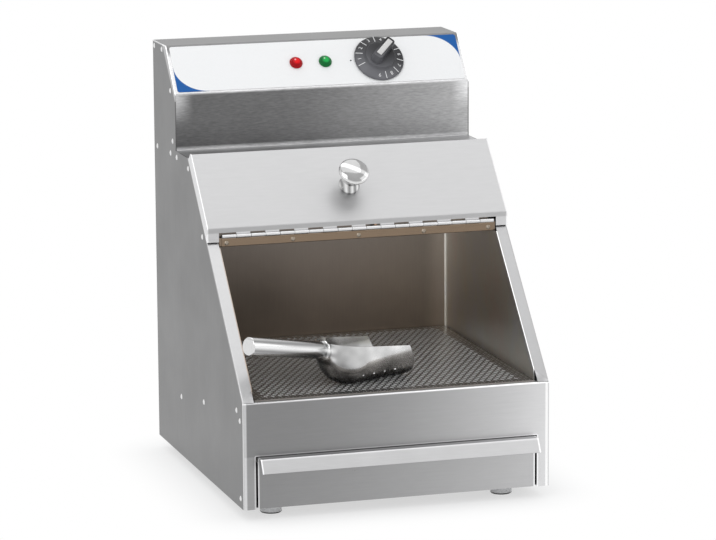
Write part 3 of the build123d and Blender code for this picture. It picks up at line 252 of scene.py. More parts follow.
class Finish(Tree):
    """A material under construction."""

    def __init__(self, name):
        self.material = bpy.data.materials.new(name)
        self.material.use_nodes = True
        super().__init__(self.material.node_tree)
        self.surface = self.tree.nodes["Principled BSDF"]

    def set(self, **inputs):
        """Sets the surface shader's sockets, named with underscores for spaces."""
        for key, value in inputs.items():
            self.feed(self.surface.inputs[key.replace("_", " ")], value)
        return self.material

    def point(self, scale=(1, 1, 1), turn=(0, 0, 0)):
        """Object coordinates in the cabinet's millimetres, stretched by a scale."""
        coordinates = self.node("ShaderNodeTexCoord").outputs["Object"]
        settings = {"vector_type": "POINT"}
        inputs = {"Vector": coordinates, "Scale": (1 / MM,) * 3, "Location": -STAND}
        place = self.node("ShaderNodeMapping", settings, inputs).outputs[0]
        if scale == (1, 1, 1) and turn == (0, 0, 0):
            return place
        inputs = {"Vector": place, "Scale": scale, "Rotation": turn}
        return self.node("ShaderNodeMapping", settings, inputs).outputs[0]

    def xyz(self):
        """The three coordinates as values."""
        parts = self.node("ShaderNodeSeparateXYZ", None, {"Vector": self.point()}).outputs
        return [Value(self, socket) for socket in parts]

    def noise(self, scale, detail=2.0, roughness=0.5, turn=(0, 0, 0)):
        """Noise from 0 to 1; scale is its cells per millimetre along each axis."""
        settings = {"noise_dimensions": "3D"}
        inputs = {"Vector": self.point(scale, turn), "Scale": 1.0, "Detail": detail}
        inputs["Roughness"] = roughness
        return Value(self, self.node("ShaderNodeTexNoise", settings, inputs).outputs["Fac"])

    def grey(self, level, tint=(1.0, 1.0, 1.0)):
        """A near-grey colour of a varying level."""
        inputs = {index: level * tint[index] for index in range(3)}
        return self.node("ShaderNodeCombineColor", None, inputs).outputs[0]

    def mix(self, factor, low, high):
        """A blend of two colours."""
        settings = {"data_type": "RGBA"}
        inputs = {0: factor, 6: low, 7: high}
        return self.node("ShaderNodeMix", settings, inputs).outputs[2]

    def bump(self, height, strength, distance):
        inputs = {"Height": height, "Strength": strength, "Distance": distance * MM}
        return self.node("ShaderNodeBump", None, inputs).outputs[0]


GRAINS = {
    "x": ((0.012, 1.6, 1.6), (0.05, 0.35, 0.35)),
    "fleck": ((0.13, 0.75, 0.75), (0.03, 0.2, 0.2)),
    "y": ((1.6, 0.012, 1.6), (0.35, 0.05, 0.35)),
    "z": ((1.6, 1.6, 0.012), (0.35, 0.35, 0.05)),
}


def brushed(
    name, tone, grain="x", roughness=0.34, tint=(1.0, 1.0, 1.01), smudge=0.07, streak=0.16, warm=None
):
    """Brushed stainless sheet. tone is a level, or works one out from the place, as the mask of the
    painted warm reflection does.
    """
    finish = Finish(name)
    fine, broad = GRAINS[grain]
    lines = finish.noise(fine, 3.0, 0.65)
    bands = finish.noise(broad, 2.0)
    clouds = finish.noise((0.011, 0.011, 0.011), 3.0, 0.6)
    level = tone(*finish.xyz()) if callable(tone) else tone
    variation = 1 + (lines - 0.5) * streak + (bands - 0.5) * 0.07 + (clouds - 0.5) * smudge * 2
    colour = finish.grey(variation * level, tint)
    if warm:
        # painted warm reflection, mixed in where its mask says
        colour = finish.mix(warm(*finish.xyz()), colour, finish.grey(variation * level, REFLECTION_TINT))
    finish.set(
        Base_Color=colour,
        Metallic=1.0,
        Roughness=(lines - 0.5) * 0.14 + (clouds - 0.5) * 0.16 + roughness,
        Normal=finish.bump(lines, 0.05, 0.05),
    )
    return finish.material


def polished(name, tone, roughness=0.12, tint=(1.0, 1.0, 1.0)):
    """Polished metal with faint smears and scratches."""
    finish = Finish(name)
    smears = finish.noise((0.06, 0.06, 0.06), 3.0)
    scratches = finish.noise((0.08, 2.2, 2.2), 2.0, turn=(0.3, 0.2, 0.6))
    finish.set(
        Base_Color=finish.grey((smears - 0.5) * 0.08 + tone, tint),
        Metallic=1.0,
        Roughness=smears * 0.08 + (scratches - 0.5) * 0.06 + roughness,
    )
    return finish.material


def plastic(name, colour, roughness=0.45, grain=0.9, depth=0.03, speckle=0.06):
    """Moulded plastic with a fine grain."""
    finish = Finish(name)
    pores = finish.noise((grain, grain, grain), 2.0)
    cloud = finish.noise((0.04, 0.04, 0.04), 2.0)
    dark = [channel * (1 - speckle) for channel in colour]
    light = [min(1.0, channel * (1 + speckle) + 0.004) for channel in colour]
    finish.set(
        Base_Color=finish.mix(cloud, (*dark, 1), (*light, 1)),
        Roughness=(cloud - 0.5) * 0.12 + roughness,
        Normal=finish.bump(pores, 0.25, depth),
    )
    return finish.material


def slope_offset(y, z):
    """Height above the plane of the slanted opening."""
    return y * SLOPE_OUT.y + (z - LIP_HEIGHT) * SLOPE_OUT.z


def slope_place(y, z):
    """Distance up the slanted opening."""
    return y * SLOPE.y + (z - LIP_HEIGHT) * SLOPE.z


def console_place(y, z):
    """Distance up the control face."""
    return (y - CONSOLE_EDGE.y) * CONSOLE.y + (z - CONSOLE_EDGE.z) * CONSOLE.z


def rightward(x, power):
    """0 at the left side of the cabinet, rising to 1 at the right."""
    return ((x + BODY_HALF) / (2 * BODY_HALF)).most(0.0) ** power


def side_tone(x, y, z):
    """Side sheet: grey face, with painted highlights along the folded edges and the slope strip
    painted lighter, a little less so on the right.
    """
    folded = slope_offset(y, z).above(-1.2, 0.5)
    front = y.below(1.0, 0.5) * z.below(LIP_HEIGHT, 1.0)
    edge = CONSOLE_EDGE.dot(CONSOLE_OUT) - 1.0
    console = (y * CONSOLE_OUT.y + z * CONSOLE_OUT.z).above(edge, 0.5)
    console = console * z.above(LEDGE_HEIGHT, 1)
    top = z.above(BODY_TOP - 1.2, 0.5)
    # slope strip painted lighter where it faces the light; the edges get painted highlights
    strip = folded * (0.32 - rightward(x, 1.0) * 0.05)
    return 0.164 + strip + front.most(console).most(top) * 0.55


def shell_tone(x, y, z):
    """Upper shell, painted by how light falls: dim upright front, lighter towards the right, with
    painted reflections at its ends, a painted highlight along the crease, and lighter ledge, top and
    slope.
    """
    upright = z.above(LEDGE_HEIGHT + 0.5, 1.0) * z.below(CONSOLE_FOOT, 1.5)
    # painted reflections at the ends of the upright front
    end_reflections = abs(x).above(168, 12) * z.above(406, 20)
    front = upright * (0.150 + rightward(x, 2.3) * 0.32 + end_reflections * 0.42)
    # painted highlight along the crease
    crease = z.above(LEDGE_HEIGHT - 0.8, 0.5) * z.below(LEDGE_HEIGHT + 2.2, 0.8) * 0.22
    top = z.above(CONSOLE_HEAD, 5) * 0.192
    ledge = z.below(LEDGE_HEIGHT + 0.5, 1.0) * (y.below(LEDGE_FRONT, 1.2) * 0.3 + 0.44)
    slope = z.above(CONSOLE_FOOT, 1.5) * z.below(CONSOLE_HEAD, 5) * 0.62
    return front + crease + top + ledge + slope


def front_tone(x, y, z):
    """Lower front: grey on the left, painted lighter towards the right, with painted highlights
    along the top fold, the folds round the opening and the side edges.
    """
    lip = z.above(LIP_HEIGHT - 1.4, 0.7)
    out = abs(x)
    hem = z.above(OPENING_TOP - 1.1, 0.3) * z.below(OPENING_TOP + 1.1, 0.3)
    hem = hem * out.below(OPENING_HALF + 1.0, 0.3)
    leg = out.above(OPENING_HALF, 0.3) * out.below(OPENING_HALF + 2.2, 0.3)
    leg = leg * z.below(OPENING_TOP + 0.1, 0.4)
    edge = out.above(BODY_HALF - 4.2, 0.7) * 0.34
    left_leg = x.below(-OPENING_HALF, 0.3) * z.below(OPENING_TOP - 0.5, 1.0) * 0.085
    # painted highlights on the folds and edges
    folds = lip * 0.42 + hem * 0.25 + leg * 0.25 + edge
    return 0.245 + rightward(x, 2.5) * 0.49 + left_leg + folds


def drawer_tone(x, y, z):
    """Drawer front: grey face painted lighter towards the right, shelf and lip painted paler where
    they face up, a painted line of light along its fold and painted highlights at its ends.
    """
    handle = y.below(-0.6, 0.4)
    lip = y.below(-HANDLE_SHELF, 0.5)
    fold = abs(y + HANDLE_SHELF).below(0.9, 0.5)
    edges = abs(x).above(DRAWER_HALF - 1.5, 0.4)
    face = (0.262 + rightward(x, 1.6) * 0.27) * (1 - handle)
    # painted light: paler handle, highlights on the fold and the ends
    return face + handle * 0.45 + lip * 0.09 + fold * 0.16 + edges * 0.42


def lid_tone(x, y, z):
    """Lid: pale satin face, painted a little lighter towards the right, with painted highlights on
    the side folds and on the low fold.
    """
    low_fold = slope_place(y, z).below(LID_FOLD, 0.8) * 0.16
    side_folds = abs(x).above(BODY_HALF - 1.4, 0.4) * 0.35
    # painted highlights on the folds
    return 0.456 + rightward(x, 1.5) * 0.045 + side_folds + low_fold


def wall_tone(x, y, z):
    """Bin walls, painted by how light falls: dim back, paler right wall, a painted highlight on the
    seam between them, a painted reflection beside it, and lighter towards the opening.
    """
    right = x.above(BIN_HALF, 0.2)
    back = x.below(BIN_HALF, 0.1) * y.above(BIN_BACK, 0.5)
    seam = x.above(BIN_HALF - 0.8, 0.2) * back
    # painted reflection on the back wall beside the seam
    seam_reflection = x.above(BIN_HALF - 14.9, 14.0) * back
    front = slope_offset(y, z).above(-4.0, 4.0)
    return 0.200 + right * 0.88 + seam_reflection * 0.12 + seam * 0.6 + front * 0.2


def wall_warm_reflection(x, y, z):
    """Painted warm reflection on the walls, stronger low down and weaker on the right wall."""
    # mask of the painted warm reflection
    right = x.above(BIN_HALF - 1.1, 0.2)
    return (z.below(210, 90) * 0.32 + 0.38) * (1 - right * 0.7)


def leaf_tone(x, y, z):
    """Hinge: painted highlight on the rolls, painted shade on the leaf below them."""
    # painted highlight on the rolls over the painted shade of the leaf
    return 0.24 + z.above(HINGE_Z - 2.8, 0.4) * 0.46


def leaf_warm_reflection(x, y, z):
    """Painted warm reflection on the leaf, none on the rolls."""
    return z.below(HINGE_Z - 2.6, 0.4)


def rail_warm_reflection(x, y, z):
    """Painted warm reflection on the rail, even all over."""
    return 0.9


def fascia_finish():
    """White printed control plate with blue corners and a small index dot."""
    finish = Finish("printed_fascia")
    x, y, z = finish.xyz()
    up = console_place(y, z)
    blue = corner(x, up, *LOW_LEFT).most(corner(x, up, *HIGH_RIGHT))
    dot_x = x - INDEX_X
    dot_up = up - CONTROL_LINE
    dot = (dot_x * dot_x + dot_up * dot_up).below(1.0, 0.35)
    grain = finish.noise((0.5, 0.5, 0.5), 2.0)
    paper = finish.mix(grain, (0.86, 0.86, 0.86, 1), (0.90, 0.90, 0.90, 1))
    marked = finish.mix(dot, finish.mix(blue, paper, BLUE), INK)
    finish.set(
        Base_Color=marked,
        Roughness=(grain - 0.5) * 0.1 + 0.32,
        Specular_IOR_Level=0.22,
        Normal=finish.bump(grain, 0.04, 0.02),
    )
    return finish.material


def corner(x, up, centre_x, centre_up, wide, tall, side):
    """Mask of a corner left outside a rounded one. side is -1 at lower left, 1 at upper right."""
    across = (x - centre_x) / wide
    rise = (up - centre_up) / tall
    outside = (across * across + rise * rise).above(1.0, 0.025)
    beyond = (x * side).above(centre_x * side, 0.2)
    past = (up * side).above(centre_up * side, 0.2)
    return outside * beyond * past


def lens_finish(name, centre_x, deep, pale):
    """Translucent moulded lens: deep rim, middle painted paler as a painted glow, and a small
    painted glint.
    """
    finish = Finish(name)
    ribs = finish.noise((0.8, 0.8, 0.8), 2.0)
    x, y, z = finish.xyz()
    across = x - centre_x
    up = console_place(y, z) - CONTROL_LINE
    # middle painted paler, a painted glow
    middle = (across * across + up * up).below(13.0, 11.0)
    # painted glint
    glint_x = across + 1.6
    glint_up = up - 1.8
    glint = (glint_x * glint_x + glint_up * glint_up).below(0.9, 0.7)
    body = finish.mix(middle * 0.8 + ribs * 0.2, (*deep, 1), (*pale, 1))
    finish.set(
        Base_Color=finish.mix(glint * 0.6, body, (0.9, 0.85, 0.85, 1)),
        Roughness=ribs * 0.08 + 0.22,
        Specular_IOR_Level=0.12,
        Coat_Weight=0.05,
    )
    return finish.material


def dial_finish():
    """Dark moulded skirt with a painted grey sheen at its lower left."""
    finish = Finish("dial_black")
    pores = finish.noise((1.2, 1.2, 1.2), 2.0)
    rubs = finish.noise((0.09, 0.09, 0.09), 3.0)
    x, y, z = finish.xyz()
    up = console_place(y, z) - CONTROL_LINE
    # painted sheen on the lower left of the skirt
    low = ((THERMOSTAT_X - x) * 0.5 - up).above(10.0, 22.0)
    painted_sheen = finish.mix(low, (0.014, 0.014, 0.016, 1), (0.19, 0.19, 0.205, 1))
    finish.set(
        Base_Color=finish.mix(rubs * 0.45, painted_sheen, (0.05, 0.05, 0.055, 1)),
        Roughness=rubs * 0.14 + 0.30,
        Specular_IOR_Level=0.3,
        Normal=finish.bump(pores, 0.12, 0.02),
    )
    return finish.material


def knob_finish():
    """Chrome of the lid's knob: grey disc crossed by a painted streak of light, with a painted
    highlight on the lower part of its rim, and a neck painted with bands of reflection.
    """
    finish = Finish("polished_knob")
    smears = finish.noise((0.08, 0.08, 0.08), 3.0)
    x, y, z = finish.xyz()
    across = x - LID_KNOB.x
    place = slope_place(y, z) - LID_KNOB.y
    cap = (slope_offset(y, z) - LID_DEPTH).above(27.0, 1.0)
    # painted streak of light across the disc
    streak = abs(across * 0.5 + place * 0.86 - 1.0).below(2.4, 1.6)
    # painted highlight on the lower part of the rim
    rim = (across * across + place * place).above(250.0, 30.0) * place.below(2.0, 8.0)
    disc = 0.37 + streak * 0.40 + rim * 0.38
    # painted bands of reflection round the neck
    neck = (across * 0.9 + 0.5).math("SINE") * 0.26 + 0.52
    finish.set(
        Base_Color=finish.grey(disc * cap + neck * (1 - cap) + (smears - 0.5) * 0.12),
        Metallic=1.0,
        Roughness=smears * 0.06 + 0.07,
    )
    return finish.material


def scoop_finish():
    """Polished scoop: painted bands of reflected light on its handle and an even light grey end cap;
    its bowl painted lighter towards the rim, with broad dim patches of painted reflection.
    """
    finish = Finish("scoop_polish")
    smears = finish.noise((0.06, 0.06, 0.06), 3.0)
    patches = finish.noise((0.028, 0.028, 0.028), 2.0)
    x, y, z = finish.xyz()
    turn = radians(SCOOP_TURN)
    lean = radians(SCOOP_RISE)
    along = (x - SCOOP_HEEL.x) * cos(turn) + (y - SCOOP_HEEL.y) * sin(turn)
    rise = z - SCOOP_HEEL.z
    off_axis = along * sin(lean) + (rise - COLLAR) * cos(lean)
    # painted bands of reflected light along the handle
    bands = (off_axis * 0.62 + 0.8).math("SINE") * 0.30 + 0.60
    cap = along.below(-108.5, 0.4)
    handle = bands * (1 - cap) + cap * 0.72
    # bowl painted lighter towards the rim, with patches of painted reflection
    bowl = (rise / 48).least(1.0).most(0.0) * 0.44 + 0.30 + (patches - 0.5) * 1.2
    held = along.below(3.0, 3.0)
    finish.set(
        Base_Color=finish.grey(handle * held + bowl.most(0.08) * (1 - held) + (smears - 0.5) * 0.06),
        Metallic=1.0,
        Roughness=smears * 0.08 + 0.15,
    )
    return finish.material


SIDE = brushed("side_sheet", side_tone, "z")
SHELL = brushed("console_sheet", shell_tone, "fleck", 0.36, smudge=0.2, streak=0.85)
LOWER = brushed("front_sheet", front_tone, "x")
DRAWER = brushed("drawer_sheet", drawer_tone, "x", 0.32)
LID = brushed("lid_sheet", lid_tone, "x", 0.46, smudge=0.03, streak=0.07)
WALL = brushed("bin_sheet", wall_tone, "z", 0.34, (1.0, 0.97, 0.95), 0.2, warm=wall_warm_reflection)
INNER = brushed("inner_sheet", 0.42, "x", 0.33, smudge=0.1)
BACK = brushed("back_sheet", 0.42, "z", 0.36)
PLATE = brushed("tray_sheet", 0.30, "x", 0.30, (1.0, 0.94, 0.88), 0.1)
# hole walls painted nearly white: painted glints on the punched edges
PUNCHED_GLINT = polished("punched_edge_glint", 0.96, 0.5)
HINGE = brushed("hinge_steel", leaf_tone, "x", 0.30, warm=leaf_warm_reflection)
RAIL = brushed("rail_sheet", 0.24, "x", 0.32, warm=rail_warm_reflection)
# rivets on the hinge leaf: a darker, warm copy of the rivet steel, with painted shade and painted
# warm reflection like the leaf
SHADED_WARM_RIVET = polished("hinge_rivet", 0.34, 0.3, (1.0, 0.86, 0.70))
RIVET = polished("rivet_bright", 0.78, 0.24)
SCREW = polished("screw_bright", 0.62, 0.26)
CHROME = knob_finish()
SPOON = scoop_finish()
SHEATH = brushed("element_sheath", 0.10, "x", 0.5, (1.0, 0.93, 0.86), 0.2)
MIRROR = polished("reflector_bright", 0.74, 0.14)
COPPER = polished("copper_bulb", 0.52, 0.25, (1.0, 0.66, 0.48))
FASCIA_PRINT = fascia_finish()
RED = lens_finish("lens_red", RED_LAMP_X, (0.34, 0.002, 0.006), (0.86, 0.008, 0.012))
GREEN = lens_finish("lens_green", GREEN_LAMP_X, (0.004, 0.12, 0.028), (0.018, 0.46, 0.09))
DIAL = dial_finish()
PRINT = plastic("scale_print", (0.80, 0.80, 0.80), 0.5)
INSERT = plastic("grip_insert", (0.62, 0.61, 0.60), 0.4)
LAMP = plastic("lamp_black", (0.03, 0.03, 0.03), 0.4)
CASE = plastic("thermostat_case", (0.60, 0.58, 0.52), 0.5)
CERAMIC = plastic("terminal_ceramic", (0.78, 0.76, 0.70), 0.25)
GLAND = plastic("gland_black", (0.025, 0.025, 0.027), 0.5)
FOOT = plastic("foot_grey", (0.94, 0.94, 0.95), 0.4)
PAD = plastic("foot_pad_dark", (0.05, 0.05, 0.05), 0.7)

NODE_FINISHES = {
    "side_panel_left": SIDE, "side_panel_right": SIDE, "upper_shell": SHELL,
    "control_fascia": FASCIA_PRINT, "back_panel": BACK, "bottom_plate": BACK,
    "lower_front_panel": LOWER, "ceiling_plate": INNER, "bin_back_wall": WALL,
    "inner_wall_left": WALL, "inner_wall_right": WALL, "wall_spacer_left": INNER,
    "wall_spacer_right": INNER, "tray_support_left": INNER, "tray_support_right": INNER,
    "drawer_runner_left": INNER, "drawer_runner_right": INNER, "hinge_rail": RAIL,
    "hinge_fixed_leaf": HINGE, "hinge_lid_leaf": HINGE, "hinge_pin": HINGE,
    "hinge_rivets": SHADED_WARM_RIVET, "lid_panel": LID, "lid_knob": CHROME, "lid_knob_screw": SCREW,
    "knob_dial": DIAL, "knob_insert": INSERT, "thermostat_shaft": SCREW,
    "thermostat_body": CASE, "thermostat_bulb": COPPER, "bulb_clips": INNER,
    "pilot_lens_red": RED, "pilot_lens_green": GREEN, "pilot_lamp_bodies": LAMP,
    "heating_element": SHEATH, "reflector": MIRROR, "element_clips": INNER,
    "terminal_block": CERAMIC, "cable_gland": GLAND, "gland_nut": GLAND, "feet": FOOT,
    "foot_screws": SCREW, "side_rivets": RIVET, "back_screws": SCREW,
    "drawer_front": DRAWER, "drawer_pan": INNER, "perforated_tray": PLATE,
    "scoop_bowl": SPOON, "scoop_collar": SPOON, "scoop_handle": SPOON,
}


def finish_nodes():
    """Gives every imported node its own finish."""
    for name, node in frame["nodes"].items():
        node.data.materials.clear()
        node.data.materials.append(NODE_FINISHES[name])


# ------------------------------------------------------------------ making pieces
def smooth(bm, limit=32.0):
    """Shades smooth across shallow edges and keeps the sharp ones."""
    for face in bm.faces:
        face.smooth = True
    for edge in bm.edges:
        edge.smooth = edge.calc_face_angle(pi) < radians(limit)


def piece(name, bm, finish, body, hides=(), place=None, extra=()):
    """Makes a finished mesh from a bmesh in millimetres and hangs it on its body."""
    if place is not None:
        bm.transform(place)
    bmesh.ops.remove_doubles(bm, verts=bm.verts, dist=0.0005)
    bmesh.ops.recalc_face_normals(bm, faces=bm.faces)
    smooth(bm)
    bm.transform(mesh_to_part())
    mesh = bpy.data.meshes.new(name)
    bm.to_mesh(mesh)
    bm.free()
    mesh.materials.append(finish)
    for more in extra:
        mesh.materials.append(more)
    made = bpy.data.objects.new(name, mesh)
    bpy.context.scene.collection.objects.link(made)
    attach(made, body)
    if hides:
        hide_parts(*hides)
    return made


def join(target, source, place=None):
    """Adds one bmesh to another."""
    if place is not None:
        source.transform(place)
    scratch = bpy.data.meshes.new("scratch")
    source.to_mesh(scratch)
    source.free()
    target.from_mesh(scratch)
    bpy.data.meshes.remove(scratch)
    return target


def lathe(profile, steps=48):
    """Spins an outline of (radius, height) points about z."""
    bm = bmesh.new()
    verts = [bm.verts.new((radius, 0, height)) for radius, height in profile]
    edges = [bm.edges.new(pair) for pair in zip(verts, verts[1:])]
    bmesh.ops.spin(
        bm, geom=verts + edges, cent=(0, 0, 0), axis=(0, 0, 1), angle=2 * pi,
        steps=steps, use_merge=True,
    )
    bmesh.ops.remove_doubles(bm, verts=bm.verts, dist=0.0005)
    bmesh.ops.dissolve_degenerate(bm, edges=bm.edges, dist=0.0005)
    bmesh.ops.recalc_face_normals(bm, faces=bm.faces)
    return bm


def rounded(points, radius=0.6, steps=3):
    """Rounds the inner corners of an outline."""
    path = [Vector(point) for point in points]
    result = [path[0]]
    for before, at, after in zip(path, path[1:], path[2:]):
        back = before - at
        on = after - at
        reach = min(radius, back.length * 0.45, on.length * 0.45)
        start = at + back.normalized() * reach
        end = at + on.normalized() * reach
        for step in range(steps + 1):
            share = step / steps
            first = start.lerp(at, share)
            second = at.lerp(end, share)
            result.append(first.lerp(second, share))
    result.append(path[-1])
    return [tuple(point) for point in result]


def cuboid(size, place=(0, 0, 0), bevel=0.0, segments=2):
    """A box with rounded edges."""
    bm = bmesh.new()
    bmesh.ops.create_cube(bm, size=1.0)
    bmesh.ops.scale(bm, vec=size, verts=bm.verts)
    if bevel:
        bmesh.ops.bevel(
            bm, geom=bm.edges, offset=bevel, segments=segments, profile=0.5,
            affect="EDGES", material=-1,
        )
    bmesh.ops.translate(bm, vec=place, verts=bm.verts)
    return bm


def words(text, height):
    """A short flat text as a bmesh, centred on the origin."""
    curve = bpy.data.curves.new("scale_text", "FONT")
    curve.body = text
    curve.size = height
    curve.align_x = "CENTER"
    curve.align_y = "CENTER"
    curve.extrude = 0.05
    curve.resolution_u = 3
    holder = bpy.data.objects.new("scale_text", curve)
    bpy.context.scene.collection.objects.link(holder)
    mesh = bpy.data.meshes.new_from_object(holder)
    bm = bmesh.new()
    bm.from_mesh(mesh)
    bpy.data.objects.remove(holder)
    bpy.data.meshes.remove(mesh)
    bpy.data.curves.remove(curve)
    return bm


# ------------------------------------------------------------------ the loose tray
def hole_cell(radius):
    """One hexagon of the sheet with its round hole."""
    bm = bmesh.new()
    outer = bmesh.ops.create_circle(bm, segments=6, radius=TRAY_PITCH / 2 / cos(radians(30)))
    bmesh.ops.rotate(bm, matrix=Matrix.Rotation(radians(30), 3, "Z"), verts=outer["verts"])
    outer_edges = list(bm.edges)
    bmesh.ops.subdivide_edges(bm, edges=outer_edges, cuts=1)
    outer_edges = list(bm.edges)
    inner = bmesh.ops.create_circle(bm, segments=12, radius=radius)
    inner_edges = [edge for edge in bm.edges if edge not in outer_edges]
    bmesh.ops.bridge_loops(bm, edges=outer_edges + inner_edges)
    return bm


def plain_cell():
    """One hexagon of the sheet without a hole."""
    bm = bmesh.new()
    bmesh.ops.create_circle(
        bm, segments=6, radius=TRAY_PITCH / 2 / cos(radians(30)), cap_ends=True
    )
    bmesh.ops.rotate(bm, matrix=Matrix.Rotation(radians(30), 3, "Z"), verts=bm.verts)
    return bm


def repeat(bm, count, step):
    """Copies what a bmesh holds along a line."""
    source = list(bm.verts) + list(bm.edges) + list(bm.faces)
    for index in range(1, count):
        made = bmesh.ops.duplicate(bm, geom=source)["geom"]
        verts = [item for item in made if isinstance(item, bmesh.types.BMVert)]
        bmesh.ops.translate(bm, vec=Vector(step) * index, verts=verts)


def cell_row(holes, blanks, shift):
    """A row of cells across the tray: holes in the middle, plain cells at both ends."""
    row = bmesh.new()
    start = -(holes - 1) / 2 * TRAY_PITCH + shift
    middle = hole_cell(TRAY_HOLE)
    repeat(middle, holes, (TRAY_PITCH, 0, 0))
    join(row, middle, Matrix.Translation((start, 0, 0)))
    for side in (start - blanks * TRAY_PITCH, start + holes * TRAY_PITCH):
        end = plain_cell()
        repeat(end, blanks, (TRAY_PITCH, 0, 0))
        join(row, end, Matrix.Translation((side, 0, 0)))
    return row


def perforated_tray():
    """Tray sheet: close staggered holes inside a plain border, cut to size and thickened."""
    wide, deep, thick = TRAY_SIZE
    row_pitch = TRAY_PITCH * sin(radians(60))
    across = int((wide - TRAY_BORDER[0]) / TRAY_PITCH)
    rows = int((deep - TRAY_BORDER[1]) / row_pitch)
    sheet = bmesh.new()
    for parity in (0, 1):
        band = cell_row(across - parity, 3, 0.0)
        repeat(band, (rows + 1 - parity) // 2, (0, 2 * row_pitch, 0))
        join(sheet, band, Matrix.Translation((0, (parity - (rows - 1) / 2) * row_pitch, 0)))
    for side in (-1, 1):
        for index in range(1, 4):
            edge = plain_cell()
            repeat(edge, across + 6, (TRAY_PITCH, 0, 0))
            row = side * ((rows - 1) / 2 + index)
            parity = (rows - 1 + index) % 2 if side > 0 else index % 2
            start = -(across + 5) / 2 * TRAY_PITCH + parity * TRAY_PITCH / 2
            join(sheet, edge, Matrix.Translation((start, row * row_pitch, 0)))
    bmesh.ops.remove_doubles(sheet, verts=sheet.verts, dist=0.05)
    for quarter, reach in enumerate((wide, deep, wide, deep)):
        normal = Matrix.Rotation(radians(90 * quarter), 3, "Z") @ Vector((1, 0, 0))
        bmesh.ops.bisect_plane(
            sheet, geom=list(sheet.verts) + list(sheet.edges) + list(sheet.faces), dist=0.0001,
            plane_co=normal * reach / 2, plane_no=normal, clear_outer=True,
        )
    bmesh.ops.recalc_face_normals(sheet, faces=sheet.faces)
    grown = bmesh.ops.extrude_face_region(sheet, geom=list(sheet.faces), use_keep_orig=True)
    verts = [item for item in grown["geom"] if isinstance(item, bmesh.types.BMVert)]
    bmesh.ops.translate(sheet, vec=(0, 0, thick), verts=verts)
    for face in sheet.faces:
        middle = face.calc_center_median()
        inside = abs(middle.x) < wide / 2 - 1 and abs(middle.y) < deep / 2 - 1
        # hole walls take the painted glint of the punched edges
        face.material_index = int(inside and 0.2 < middle.z < thick - 0.2)
    place = Matrix.Translation(TRAY_MIDDLE)
    hides = ("perforated_tray",)
    piece("tray_sheet", sheet, PLATE, "tray", hides, place, (PUNCHED_GLINT,))


# ------------------------------------------------------------------ controls
def dial():
    """Thermostat knob: skirt, hub and bar grip, with a printed scale of ticks and numbers."""
    lift = 0.7
    skirt = rounded(
        [(0, lift), (DIAL_RADIUS, lift), (DIAL_RADIUS, 2.3), (DIAL_RADIUS - 1.4, 3.6),
         (20.0, 6.2), (18.6, 7.4), (17.4, 10.6), (0, 10.8)],
        0.9,
    )
    knob = lathe(skirt, 96)
    place = on_console(CONTROL_LINE, FASCIA, THERMOSTAT_X)
    place = place @ Matrix.Rotation(radians(DIAL_ANGLE), 4, "Z")
    turned = "thermostat_knob"
    piece("thermostat_dial", join(knob, grip()), DIAL, turned, ("knob_dial",), place)
    insert = cuboid(INSERT_SIZE, (INSERT_SHIFT, 0, GRIP_TOP - 0.25), 0.35)
    piece("grip_strip", insert, INSERT, turned, ("knob_insert",), place)
    scale_marks()


def grip():
    """Bar grip with rounded corners, tapered upwards, with a groove for its light strip."""
    length, width, height = GRIP
    bm = cuboid(GRIP, (0, 0, GRIP_TOP - height / 2))
    upright = [edge for edge in bm.edges if abs(edge.verts[0].co.z - edge.verts[1].co.z) > 1]
    bmesh.ops.bevel(
        bm, geom=upright, offset=width * 0.26, segments=5, profile=0.5, affect="EDGES", material=-1
    )
    top = [face for face in bm.faces if face.calc_center_median().z > GRIP_TOP - 0.1]
    for vert in {vert for face in top for vert in face.verts}:
        vert.co.x *= (length - 4) / length
        vert.co.y *= (width - 3) / width
    bmesh.ops.inset_region(bm, faces=top, thickness=0.8, depth=-0.4)
    bmesh.ops.translate(bm, vec=(GRIP_SHIFT, 0, 0), verts=bm.verts)
    return bm


def scale_marks():
    """White ticks and plain numbers round the skirt."""
    marks = bmesh.new()
    step = SCALE_SWEEP / (SCALE_STATIONS - 1)
    tilt = Matrix.Rotation(radians(SKIRT_TILT), 4, "Y")
    for index in range(SCALE_STATIONS):
        angle = radians(SCALE_START - index * step)
        out = Matrix.Translation((SCALE_RADIUS, 0, SCALE_HEIGHT))
        spot = Matrix.Rotation(angle, 4, "Z") @ out
        if index % 2:
            turn = Matrix.Rotation(radians(-90), 4, "Z")
            number = words(str((index + 1) // 2), NUMBER_HEIGHT)
            join(marks, number, spot @ tilt @ turn)
        else:
            join(marks, cuboid(TICK_SIZE), spot @ tilt)
    place = on_console(CONTROL_LINE, FASCIA, THERMOSTAT_X)
    piece("dial_scale", marks, PRINT, "thermostat_knob", (), place)


def pilot_lamps():
    """Domed lenses with a stepped rim."""
    dome = [(0, 5.6), (4.4, 5.2), (6.1, 3.6), (6.5, 2.2), (7.8, 1.6), (7.8, 0), (0, 0)]
    profile = rounded(dome, 0.7)
    for name, x, finish, slot in (
        ("pilot_lens_red", RED_LAMP_X, RED, "lens_red"),
        ("pilot_lens_green", GREEN_LAMP_X, GREEN, "lens_green"),
    ):
        place = on_console(CONTROL_LINE, FASCIA, x)
        piece(name + "_dome", lathe(profile, 40), finish, "cabinet", (name,), place)


